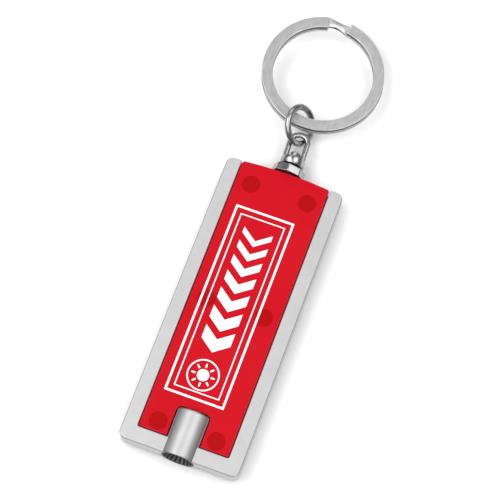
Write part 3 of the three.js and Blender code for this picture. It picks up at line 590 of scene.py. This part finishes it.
def satin_steel():
    made = Finish("satin_steel", (0.56, 0.565, 0.575), 0.3, 1.0)
    vector = made.centred(SPLIT_CENTRE, (0, SPLIT_ROLL, 0))
    brush = use_group(made.tree, RING_BRUSH, vector)
    lines = maths(made.tree, "MULTIPLY", brush.outputs["Lines"], 0.65)
    mixed = maths(made.tree, "ADD", lines, maths(made.tree, "MULTIPLY", brush.outputs["Cross"], 0.35))
    worn = made.color_between(mixed, (0.24, 0.242, 0.246), (0.82, 0.822, 0.826))
    # Painted shade: upright faces in the band between the two turns are painted near black.
    parts = node(made.tree, "ShaderNodeSeparateXYZ")
    link(made.tree, vector, parts.inputs[0])
    above = maths(made.tree, "GREATER_THAN", parts.outputs[2], SEAM_SHADE_LOW * MM)
    below = maths(made.tree, "LESS_THAN", parts.outputs[2], SEAM_SHADE_HIGH * MM)
    upright = maths(made.tree, "GREATER_THAN", made.steepness(), 0.12)
    seam_shade = maths(made.tree, "MULTIPLY", maths(made.tree, "MULTIPLY", above, below), upright)
    made.base(made.color_between(seam_shade, worn, (0.015, 0.015, 0.016)))
    made.rough(brush.outputs["Lines"], 0.22, 0.48)
    made.bump(mixed, 0.3, 0.00002)
    return made.material


def plain_finish(name, low, high, rough, metallic=0.0, speckle=5000.0, bump=0.08):
    """A moulded, pressed or drawn surface: mottled between two colours, with a fine grain."""
    made = Finish(name, low, rough[0], metallic)
    grain = made.grain(speckle, speckle / 9)
    made.base(made.color_between(grain.outputs["Mottle"], low, high))
    made.rough(grain.outputs["Speckle"], *rough)
    made.bump(grain.outputs["Speckle"], bump, 0.00001)
    return made.material


def clear_epoxy():
    made = Finish("clear_epoxy", (0.96, 0.98, 1.0), 0.03, 0.0, IOR=1.53, Transmission_Weight=1.0)
    grain = made.grain(1500.0, 300.0)
    made.rough(grain.outputs["Mottle"], 0.01, 0.07)
    made.bump(grain.outputs["Mottle"], 0.04, 0.00001)
    return made.material


SILVER_PAINT = silver_paint()
RED_PLASTIC = red_plastic()
WHITE_INK = white_ink()
POLISHED_STEEL = polished_steel()
SATIN_STEEL = satin_steel()
CLEAR_EPOXY = clear_epoxy()
BLACK_NYLON = plain_finish("black_nylon", (0.008, 0.008, 0.009), (0.02, 0.02, 0.022), (0.4, 0.6))
CAD_FINISHES = {
    "white_card": plain_finish(
        "white_card", (0.8, 0.79, 0.76), (0.9, 0.89, 0.87), (0.7, 0.9), speckle=9000.0),
    "white_plastic": plain_finish(
        "white_plastic", (0.78, 0.78, 0.75), (0.85, 0.85, 0.82), (0.35, 0.5)),
    "cell_steel": plain_finish(
        "cell_steel", (0.6, 0.605, 0.62), (0.7, 0.705, 0.72), (0.15, 0.3), 1.0),
    "gasket_plastic": plain_finish(
        "gasket_plastic", (0.03, 0.03, 0.032), (0.06, 0.06, 0.065), (0.5, 0.7)),
    "cathode_mix": plain_finish(
        "cathode_mix", (0.01, 0.01, 0.012), (0.04, 0.04, 0.045), (0.8, 1.0), bump=0.4),
    "separator_felt": plain_finish(
        "separator_felt", (0.75, 0.74, 0.7), (0.88, 0.87, 0.84), (0.85, 1.0), bump=0.5),
    "lithium_metal": plain_finish(
        "lithium_metal", (0.4, 0.42, 0.45), (0.55, 0.57, 0.6), (0.4, 0.65), 1.0),
    "tinned_steel": plain_finish(
        "tinned_steel", (0.55, 0.56, 0.58), (0.68, 0.69, 0.71), (0.25, 0.42), 1.0),
    "phosphor": plain_finish(
        "phosphor", (0.75, 0.6, 0.08), (0.85, 0.72, 0.14), (0.6, 0.8), bump=0.3),
    "phosphor_bronze": plain_finish(
        "phosphor_bronze", (0.5, 0.3, 0.12), (0.64, 0.41, 0.18), (0.25, 0.4), 1.0),
}


# ---------------------------------------------------------------------------
# Frame with its lamp barrel
# ---------------------------------------------------------------------------
def frame_slab():
    """The U-shaped frame before its barrel, with rounded corners and edges."""
    bm = bmesh.new()
    inner_end = BODY_START + END_BAR_WIDTH
    outer = [(-BODY_HALF, BODY_START), (BODY_HALF, BODY_START), (BODY_HALF, BODY_END)]
    inner = [(OPENING_HALF, BODY_END), (OPENING_HALF, inner_end), (-OPENING_HALF, inner_end),
             (-OPENING_HALF, BODY_END)]
    face = polygon(bm, outer + inner + [(-BODY_HALF, BODY_END)], FACE_BACK)
    wide = [v for v in face.verts if abs(abs(v.co.x) - BODY_HALF) < 1e-6]
    round_corners(bm, wide, OUTER_CORNER, 8)
    tight = [v for v in bm.verts if abs(abs(v.co.x) - OPENING_HALF) < 1e-6]
    round_corners(bm, tight, INNER_CORNER, 4)
    bm.faces.ensure_lookup_table()
    extrude_up(bm, bm.faces[:], FACE_FRONT - FACE_BACK)
    round_edges(bm, rim_edges(bm, (FACE_BACK, FACE_FRONT)), EDGE_ROUNDING, 4)
    return bm


def mouth_ribs(bore, mouth):
    """Stepped rings of the reflector, from the bore out to the rim."""
    ribs = []
    for index in range(MOUTH_STEPS):
        share = index / MOUTH_STEPS
        radius = bore + (mouth - bore - MOUTH_STEPS_MARGIN) * share
        depth = MOUTH_DEPTH - (MOUTH_DEPTH - MOUTH_STEPS_MARGIN) * share
        ribs += [(radius, depth), (radius + MOUTH_STEP_SLOPE, depth - MOUTH_STEP_RISE)]
    return ribs + [(mouth - MOUTH_LIP_IN, MOUTH_LIP_DEEP), (mouth, 0.0)]


def barrel_profile():
    """Closed profile of the barrel's wall, as (radius, distance from the mouth)."""
    rounding = BARREL_ROUNDING
    outside = [(BARREL_RADIUS - MOUTH_SOFTENING, 0.0)]
    outside += arc(BARREL_RADIUS - MOUTH_SOFTENING, MOUTH_SOFTENING, MOUTH_SOFTENING, -90, 0, 3)[1:]
    outside += arc(BARREL_RADIUS - rounding, BARREL_LENGTH - rounding, rounding, 0, 90, 6)
    mouth = BARREL_RADIUS - MOUTH_RIM
    bore = LED_RADIUS + LED_CLEARANCE
    flange = LED_RADIUS + FLANGE_ROOM
    seat = BARREL_LENGTH - FLANGE_SEAT_DEPTH
    inside = [(flange, BARREL_LENGTH), (flange, seat), (bore, seat), (bore, MOUTH_DEPTH + MOUTH_TUBE)]
    inside += mouth_ribs(bore, mouth)
    return outside + inside + [outside[0]]


def make_frame():
    slab = frame_slab()
    core = bmesh.new()
    reach = BARREL_RADIUS - CORE_INSIDE_WALL
    depth = CORE_LENGTH
    centre = (0, BODY_START, MIDDLE_Z)
    core_profile = [(0, -OVERSHOOT), (reach, -OVERSHOOT), (reach, depth), (0, depth)]
    spun(core, core_profile, centre, (0, 1, 0), 96)
    opened = combined("frame", slab, core, "DIFFERENCE")
    barrel = bmesh.new()
    spun(barrel, barrel_profile(), centre, (0, 1, 0), 96)
    whole = combined("frame", opened, barrel, "UNION")
    tongue = bmesh.new()
    tip = OPENING_HALF - TONGUE_DEPTH
    start = BODY_START + END_BAR_WIDTH
    end = BODY_END - TONGUE_SHORT_OF_END
    root = OPENING_HALF + OVERSHOOT
    points = [(-root, start - OVERSHOOT), (root, start - OVERSHOOT), (root, end), (tip, end),
              (tip, start + TONGUE_DEPTH), (-tip, start + TONGUE_DEPTH), (-tip, end), (-root, end)]
    polygon(tongue, points, TONGUE_BACK)
    tongue.faces.ensure_lookup_table()
    extrude_up(tongue, tongue.faces[:], TONGUE_FRONT - TONGUE_BACK)
    room = bmesh.new()
    spun(room, [(0, 0), (reach, 0), (reach, depth), (0, depth)], centre, (0, 1, 0), 64)
    tongue = combined("frame", tongue, room, "DIFFERENCE")
    whole = combined("frame", whole, tongue, "UNION")
    return place(to_object(whole, "frame_shell"), "housing", SILVER_PAINT, ["frame"])


make_frame()


# ---------------------------------------------------------------------------
# Covers: the CAD shells with their show edges rounded
# ---------------------------------------------------------------------------
def make_cover(node_name, body, face_z):
    """A merged copy of the CAD shell, spread a little into its gap, with its show edge rounded over."""
    bm = bmesh.new()
    bm.from_mesh(bpy.data.objects[node_name].data)
    bmesh.ops.scale(bm, vec=(1 / MM, 1 / MM, 1 / MM), verts=bm.verts)
    bmesh.ops.remove_doubles(bm, verts=bm.verts, dist=1e-3)
    bmesh.ops.dissolve_limit(bm, angle_limit=math.radians(0.3), verts=bm.verts, edges=bm.edges)
    for vert in bm.verts:
        if abs(vert.co.z - face_z) < SPREAD_DEPTH:
            beyond = min(max((abs(vert.co.x) - COVER_HALF) / SPREAD_REACH + 1, 0), 1)
            vert.co.x += math.copysign(COVER_SPREAD * beyond, vert.co.x)
            beyond = min(max((front_low.y - vert.co.y) / SPREAD_REACH + 1, 0), 1)
            vert.co.y -= COVER_SPREAD * beyond
    round_edges(bm, rim_edges(bm, (face_z,), 2e-3), COVER_ROUNDING, 3)
    return place(to_object(bm, node_name + "_shell"), body, RED_PLASTIC, [node_name])


make_cover("front_cover", "press_cover", front_high.z)
make_cover("back_cover", "housing", back_low.z)


# ---------------------------------------------------------------------------
# Print on the front cover: an outline, a sun and arrowheads towards the lamp
# ---------------------------------------------------------------------------
PRINT_LEFT, PRINT_RIGHT = -7.42, 5.27
PRINT_LOW, PRINT_TOP = -19.6, 22.25
PRINT_LIFT = 0.004
PRINT_FILM = 0.03
PRINT_MIDDLE = (PRINT_LEFT + PRINT_RIGHT) / 2
LINE_WIDTH = 0.45
INNER_LINE_WIDTH = 0.24
BORDER_STEP = 1.5
SUN_ABOVE_BORDER = 5.35
SUN_RADIUS = 1.25
SUN_RAYS = 8
RAY_START, RAY_END = 1.65, 2.5
RAY_ROOT_HALF, RAY_TIP_HALF = 0.2, 0.13
SUN_RING_RADIUS = 3.35
SUN_RING_WIDTH = 0.3
ARROWHEADS = 7
ARROWS_ABOVE_BORDER = 10.4
ARROW_HALF = 3.1
ARROW_RISE = 2.3
ARROW_THICKEST = 2.9
ARROW_THINNING = 0.27
ARROW_GAP = 1.75


def print_layer(bm, name):
    """A flat drawing on the cover's face, given the thickness of an ink film."""
    bm.faces.ensure_lookup_table()
    extrude_up(bm, bm.faces[:], PRINT_FILM)
    return place(to_object(bm, name), "press_cover", WHITE_INK)


def outline(bm, left, right, low, top, width):
    """A closed square-cornered border of one width."""
    face = polygon(bm, [(left, low), (right, low), (right, top), (left, top)], COVER_FRONT + PRINT_LIFT)
    face.normal_update()
    bmesh.ops.inset_region(bm, faces=[face], thickness=width, use_boundary=True, use_even_offset=True)
    bmesh.ops.delete(bm, geom=[face], context="FACES")


def make_borders():
    """A bold border and a thin one inside it."""
    for name, step, width in (("print_border", 0, LINE_WIDTH),
                              ("print_inner_border", BORDER_STEP, INNER_LINE_WIDTH)):
        bm = bmesh.new()
        outline(bm, PRINT_LEFT + step, PRINT_RIGHT - step, PRINT_LOW + step, PRINT_TOP - step, width)
        print_layer(bm, name)


def make_sun():
    """A disc with short rays inside a ring."""
    bm = bmesh.new()
    centre = (PRINT_MIDDLE, PRINT_LOW + SUN_ABOVE_BORDER, COVER_FRONT + PRINT_LIFT)
    spot = Matrix.Translation(centre)
    bmesh.ops.create_circle(bm, cap_ends=True, radius=SUN_RADIUS, segments=48, matrix=spot)
    ring = bmesh.ops.create_circle(bm, cap_ends=True, radius=SUN_RING_RADIUS, segments=72, matrix=spot)
    face = ring["verts"][0].link_faces[0]
    bmesh.ops.inset_region(bm, faces=[face], thickness=SUN_RING_WIDTH, use_boundary=True,
                           use_even_offset=True)
    bmesh.ops.delete(bm, geom=[face], context="FACES")
    outline_of_ray = [(RAY_START, -RAY_ROOT_HALF), (RAY_END, -RAY_TIP_HALF), (RAY_END, RAY_TIP_HALF),
                      (RAY_START, RAY_ROOT_HALF)]
    for index in range(SUN_RAYS):
        turn = Matrix.Rotation(index * 2 * math.pi / SUN_RAYS, 4, "Z")
        ray = polygon(bm, outline_of_ray, 0)
        bmesh.ops.transform(bm, matrix=spot @ turn, verts=ray.verts)
    print_layer(bm, "print_sun")


def make_arrowheads():
    """Bold arrowheads pointing to the lamp, getting thicker towards it."""
    bm = bmesh.new()
    tip = PRINT_LOW + ARROWS_ABOVE_BORDER
    for index in range(ARROWHEADS):
        thick = ARROW_THICKEST - ARROW_THINNING * index
        arm = tip + ARROW_RISE
        points = [(-ARROW_HALF, arm), (0, tip), (ARROW_HALF, arm), (ARROW_HALF, arm + thick),
                  (0, tip + thick), (-ARROW_HALF, arm + thick)]
        polygon(bm, [(PRINT_MIDDLE + x, y) for x, y in points], COVER_FRONT + PRINT_LIFT)
        tip += thick + ARROW_GAP
    print_layer(bm, "print_arrowheads")


make_borders()
make_sun()
make_arrowheads()


# ---------------------------------------------------------------------------
# Lamp dome
# ---------------------------------------------------------------------------
def make_led():
    bm = bmesh.new()
    length = lens_high.y - lens_low.y
    flange = (lens_high.x - lens_low.x) / 2
    dome = arc(0, LED_RADIUS, LED_RADIUS, -90, 0, 16)
    profile = dome + [(LED_RADIUS, length - FLANGE_THICKNESS), (flange, length - FLANGE_THICKNESS)]
    profile += [(flange, length - FLANGE_SOFTENING), (flange - FLANGE_SOFTENING, length), (0, length)]
    spun(bm, profile, (0, lens_low.y, MIDDLE_Z), (0, 1, 0), 64)
    place(to_object(bm, "led_dome"), "housing", CLEAR_EPOXY, ["led_lens"])


make_led()


# ---------------------------------------------------------------------------
# Swivel: rivet, eight-sided collar, washer and bail
# ---------------------------------------------------------------------------
def make_stud():
    bm = bmesh.new()
    base = stud_low.y
    top = stud_high.y - stud_low.y
    shoulder = top - STUD_HEAD_HEIGHT
    foot = ANCHOR_THICKNESS - ANCHOR_OVERLAP
    profile = [(0, foot), (STUD_RADIUS, foot), (STUD_RADIUS, shoulder)]
    profile += [(STUD_HEAD_RADIUS - STUD_HEAD_CHAMFER, shoulder),
                (STUD_HEAD_RADIUS, shoulder + STUD_HEAD_CHAMFER)]
    profile += [(STUD_HEAD_RADIUS - inward, top - down) for inward, down in STUD_HEAD_CROWN]
    profile += [(0, top)]
    spun(bm, profile, (0, base, MIDDLE_Z), (0, 1, 0), 48)
    spot = Matrix.Translation((0, base + ANCHOR_THICKNESS / 2, MIDDLE_Z))
    sizes = Matrix.Diagonal((2 * stud_high.x, ANCHOR_THICKNESS, ANCHOR_HEIGHT, 1))
    made = bmesh.ops.create_cube(bm, size=1, matrix=spot @ sizes)
    round_edges(bm, edges_of(made["verts"]), ANCHOR_SOFTENING, 2)
    place(to_object(bm, "swivel_rivet"), "housing", POLISHED_STEEL, ["swivel_stud"])


def make_collar():
    """An eight-sided collar with softened corners and a round bore."""
    bm = bmesh.new()
    radius = (collar_high.x - collar_low.x) / 2
    height = collar_high.y - collar_low.y
    stand = Matrix.Translation((0, collar_low.y, MIDDLE_Z)) @ Matrix.Rotation(-math.pi / 2, 4, "X")
    made = bmesh.ops.create_circle(bm, cap_ends=True, radius=radius, segments=8, matrix=stand)
    round_corners(bm, made["verts"], COLLAR_CORNER, 3)
    bm.faces.ensure_lookup_table()
    extrude_up(bm, bm.faces[:], height, (0, 1, 0))
    lips = [e for e in bm.edges if abs(e.verts[0].co.y - e.verts[1].co.y) < 1e-5]
    round_edges(bm, lips, COLLAR_LIP, 3)
    hole = bmesh.new()
    low, high = -OVERSHOOT, height + OVERSHOOT
    spun(hole, [(0, low), (SWIVEL_BORE, low), (SWIVEL_BORE, high), (0, high)],
         (0, collar_low.y, MIDDLE_Z), (0, 1, 0), 48)
    whole = combined("collar", bm, hole, "DIFFERENCE")
    piece = to_object(whole, "swivel_collar_octagon", 24)
    place(piece, "housing", POLISHED_STEEL, ["swivel_collar"])


def make_washer():
    bm = bmesh.new()
    radius = (washer_high.x - washer_low.x) / 2
    height = washer_high.y - washer_low.y
    half = height / 2
    rim = arc(radius - half, half, half, -90, 90, 8)
    profile = [(SWIVEL_BORE, 0)] + rim + [(SWIVEL_BORE, height), (SWIVEL_BORE, 0)]
    spun(bm, profile, (0, washer_low.y, MIDDLE_Z), (0, 1, 0), 64)
    place(to_object(bm, "swivel_washer_rounded"), "housing", BLACK_NYLON, ["swivel_washer"])


def section_circle(bm, centre, radius, normal, segments=20):
    turn = Vector((0, 0, 1)).rotation_difference(Vector(normal)).to_matrix().to_4x4()
    made = bmesh.ops.create_circle(bm, cap_ends=False, radius=radius, segments=segments,
                                   matrix=Matrix.Translation(centre) @ turn)
    return made["verts"], edges_of(made["verts"])


def cap(bm, edges):
    bmesh.ops.holes_fill(bm, edges=edges, sides=0)


def straight_run(bm, edges, move):
    """Draws a ring of edges out along a straight line and returns the new ring."""
    made = bmesh.ops.extrude_edge_only(bm, edges=edges)
    verts = [g for g in made["geom"] if isinstance(g, bmesh.types.BMVert)]
    drawn = [g for g in made["geom"] if isinstance(g, bmesh.types.BMEdge)]
    bmesh.ops.translate(bm, vec=move, verts=verts)
    return verts, [e for e in drawn if all(v in verts for v in e.verts)]


def last_ring(made):
    ring = made["geom_last"]
    return ([g for g in ring if isinstance(g, bmesh.types.BMVert)],
            [g for g in ring if isinstance(g, bmesh.types.BMEdge)])


def make_bail():
    bm = bmesh.new()
    half = BAIL_BASE_HEIGHT / 2
    profile = [(BAIL_BORE, -half), (BAIL_BASE_RADIUS - BAIL_LOW_CHAMFER, -half),
               (BAIL_BASE_RADIUS, -half + BAIL_LOW_CHAMFER)]
    rounding = BAIL_TOP_ROUNDING
    profile += arc(BAIL_BASE_RADIUS - rounding, half - rounding, rounding, 0, 90, 5)
    profile += [(BAIL_BORE + BAIL_BORE_CHAMFER, half), (BAIL_BORE, half - BAIL_BORE_CHAMFER),
                (BAIL_BORE, -half)]
    spun(bm, profile, (0, 0, 0), (0, 1, 0), 64)
    foot = BAIL_LEG_FOOT
    first = section_circle(bm, (-BAIL_LEG_X, foot, 0), BAIL_WIRE, (0, 1, 0))[1]
    rise = half + BAIL_LEG_RISE - foot
    verts, edges = straight_run(bm, first, (0, rise, 0))
    made = bmesh.ops.spin(bm, geom=verts + edges, cent=(0, rise + foot, 0), axis=(0, 0, 1), angle=-math.pi,
                          steps=32, use_merge=False)
    last = straight_run(bm, last_ring(made)[1], (0, -rise, 0))[1]
    cap(bm, first)
    cap(bm, last)
    placed = Matrix.Translation(BAIL_CENTRE) @ Matrix.Rotation(BAIL_LEAN, 4, "Z")
    place(to_object(bm, "bail_loop", 50, placed), "swivel", POLISHED_STEEL, ["bail"])


make_stud()
make_collar()
make_washer()
make_bail()


# ---------------------------------------------------------------------------
# Rings
# ---------------------------------------------------------------------------
def make_jump_ring():
    bm = bmesh.new()
    gap = JUMP_SEAM_GAP / JUMP_MID
    start = JUMP_SEAM + gap / 2
    centre = Vector((math.cos(start), math.sin(start), 0)) * JUMP_MID
    verts, edges = section_circle(bm, centre, JUMP_WIRE, (-math.sin(start), math.cos(start), 0), 24)
    made = bmesh.ops.spin(bm, geom=verts + edges, cent=(0, 0, 0), axis=(0, 0, 1), angle=2 * math.pi - gap,
                          steps=120, use_merge=False)
    cap(bm, edges)
    cap(bm, last_ring(made)[1])
    ends = [e for e in bm.edges if any(len(f.verts) > 6 for f in e.link_faces)]
    round_edges(bm, ends, JUMP_END_ROUNDING, 2)
    placed = Matrix.Translation(JUMP_CENTRE) @ Matrix.Rotation(JUMP_TURN, 4, "Y")
    piece = to_object(bm, "jump_ring_wire", 40, placed)
    place(piece, "link", POLISHED_STEEL, ["jump_ring"])


def make_split_ring():
    """Two turns of flat wire: down one full turn, through the jog, and round again below."""
    bm = bmesh.new()
    upper = SPLIT_PITCH / 2
    bmesh.ops.create_grid(bm, x_segments=1, y_segments=1, size=0.5)
    bmesh.ops.scale(bm, vec=(SPLIT_WIDTH, SPLIT_LAYER, 1), verts=bm.verts)
    round_corners(bm, bm.verts[:], SPLIT_CORNER, 4)
    bmesh.ops.rotate(bm, cent=(0, 0, 0), matrix=Matrix.Rotation(math.pi / 2, 3, "X"), verts=bm.verts)
    bmesh.ops.translate(bm, vec=(SPLIT_MID, 0, upper), verts=bm.verts)
    start = SPLIT_UPPER_END - SPLIT_END_GAP
    bmesh.ops.rotate(bm, cent=(0, 0, 0), matrix=Matrix.Rotation(start, 3, "Z"), verts=bm.verts)
    bmesh.ops.delete(bm, geom=bm.faces[:], context="FACES_ONLY")
    verts, edges = bm.verts[:], bm.edges[:]
    first = edges
    turn = 2 * math.pi - SPLIT_JOG
    made = bmesh.ops.spin(bm, geom=verts + edges, cent=(0, 0, 0), axis=(0, 0, 1), angle=SPLIT_END_GAP - turn,
                          steps=SPLIT_TURN_STEPS)
    steps = SPLIT_JOG_STEPS
    centre = Vector((0, 0, 0))
    necks = []
    for index in range(steps):
        begun, done = index / steps, (index + 1) / steps
        share = done * done * (3 - 2 * done) - begun * begun * (3 - 2 * begun)
        verts, edges = last_ring(made)
        made = bmesh.ops.spin(bm, geom=verts + edges, cent=centre, axis=(0, 0, 1), angle=-SPLIT_JOG / steps,
                              dvec=SPLIT_DRIFT * share - Vector((0, 0, SPLIT_PITCH * share)), steps=1)
        centre = centre + SPLIT_DRIFT * share
        necks.append((last_ring(made)[0], centre, 4 * done * (1 - done)))
    verts, edges = last_ring(made)
    made = bmesh.ops.spin(bm, geom=verts + edges, cent=centre, axis=(0, 0, 1), angle=-turn,
                          steps=SPLIT_TURN_STEPS)
    cap(bm, first)
    cap(bm, last_ring(made)[1])
    for ring, middle, neck in necks:
        for vert in ring:
            out = vert.co.xy - middle.xy
            vert.co.xy += out.normalized() * (SPLIT_MID - out.length) * SPLIT_NECK * neck
    ends = [e for e in bm.edges if any(len(f.verts) > 6 for f in e.link_faces)]
    round_edges(bm, ends, SPLIT_END_ROUNDING, 2)
    placed = Matrix.Translation(SPLIT_CENTRE) @ Matrix.Rotation(SPLIT_ROLL, 4, "Y")
    piece = to_object(bm, "split_ring_band", 30, placed)
    place(piece, "key_ring", SATIN_STEEL, ["split_ring"])


make_jump_ring()
make_split_ring()


# ---------------------------------------------------------------------------
# Finishes of the inner pieces that keep their CAD shape
# ---------------------------------------------------------------------------
INNER_FINISHES = {
    "front_liner": "white_card", "back_liner": "white_card", "cell_holder": "white_plastic",
    "battery_can": "cell_steel", "battery_cap": "cell_steel", "battery_gasket": "gasket_plastic",
    "battery_cathode_pellet": "cathode_mix", "battery_separator": "separator_felt",
    "battery_lithium_disc": "lithium_metal", "led_cathode_lead": "tinned_steel",
    "led_anode_lead": "tinned_steel", "led_chip": "phosphor", "contact_leaf": "phosphor_bronze",
    "contact_strip": "phosphor_bronze",
}
for node_name, finish in INNER_FINISHES.items():
    cad_piece = bpy.data.objects[node_name]
    cad_piece.data.materials.clear()
    cad_piece.data.materials.append(CAD_FINISHES[finish])


# ---------------------------------------------------------------------------
# Camera, floor and light
# ---------------------------------------------------------------------------
CAMERA_AZIMUTH = 20.2
CAMERA_ELEVATION = 71.25
CAMERA_DISTANCE = 0.450
CAMERA_TARGET = Vector((-1.64, BODY_START + 46.27, MIDDLE_Z)) * MM
CAMERA_LENS = 157.9
SOFTBOX_DISTANCE = 0.9
# Each softbox's name, azimuth, elevation, width and height in metres, and power in watts.
SOFTBOXES = (
    ("overhead left", 292, 60, 0.8, 0.6, 5.4),
    ("overhead right", 105, 62, 0.6, 0.6, 3.3),
    ("overhead front", 15, 52, 0.8, 0.35, 2.3),
    ("overhead back", 195, 44, 0.9, 0.3, 1.8),
)
WORLD_STRENGTH = 0.26
FLOOR_HALF = 1.5
FLOOR_DROP = 0.02


def direction(azimuth, elevation):
    """Unit vector from the object towards a place round it, as angles in degrees."""
    around, up = math.radians(azimuth), math.radians(elevation)
    return Vector((math.sin(around) * math.cos(up), -math.cos(around) * math.cos(up), math.sin(up)))


def make_camera():
    back = direction(CAMERA_AZIMUTH, CAMERA_ELEVATION)
    data = bpy.data.cameras.new("camera")
    data.lens = CAMERA_LENS
    data.sensor_width = 36
    data.clip_start = 0.01
    camera = bpy.data.objects.new("camera", data)
    camera.location = CAMERA_TARGET + back * CAMERA_DISTANCE
    camera.rotation_euler = back.to_track_quat("Z", "Y").to_euler()
    bpy.context.scene.collection.objects.link(camera)
    bpy.context.scene.camera = camera


def softbox(name, azimuth, elevation, width, height, power):
    data = bpy.data.lights.new(name, "AREA")
    data.shape = "RECTANGLE"
    data.size = width
    data.size_y = height
    data.energy = power
    lamp = bpy.data.objects.new(name, data)
    away = direction(azimuth, elevation)
    lamp.location = CAMERA_TARGET + away * SOFTBOX_DISTANCE
    lamp.rotation_euler = away.to_track_quat("Z", "Y").to_euler()
    bpy.context.scene.collection.objects.link(lamp)


def make_floor():
    """A pale matt sheet under the object."""
    bm = bmesh.new()
    bmesh.ops.create_grid(bm, x_segments=1, y_segments=1, size=FLOOR_HALF)
    bmesh.ops.translate(bm, vec=(0, 0, (frame_low.z - FLOOR_DROP) * MM), verts=bm.verts)
    mesh = bpy.data.meshes.new("floor")
    bm.to_mesh(mesh)
    bm.free()
    floor = bpy.data.objects.new("floor", mesh)
    bpy.context.scene.collection.objects.link(floor)
    sheet = Finish("pale_sheet", (0.93, 0.93, 0.93), 0.9)
    grain = sheet.grain(900.0, 12.0)
    sheet.base(sheet.color_between(grain.outputs["Mottle"], (0.92, 0.92, 0.92), (0.94, 0.94, 0.94)))
    mesh.materials.append(sheet.material)


def make_world():
    world = bpy.data.worlds.new("studio")
    world.use_nodes = True
    background = world.node_tree.nodes["Background"]
    background.inputs["Color"].default_value = (1, 1, 1, 1)
    background.inputs["Strength"].default_value = WORLD_STRENGTH
    bpy.context.scene.world = world


make_camera()
make_floor()
make_world()
for settings in SOFTBOXES:
    softbox(*settings)
bpy.context.scene.view_settings.view_transform = "Standard"
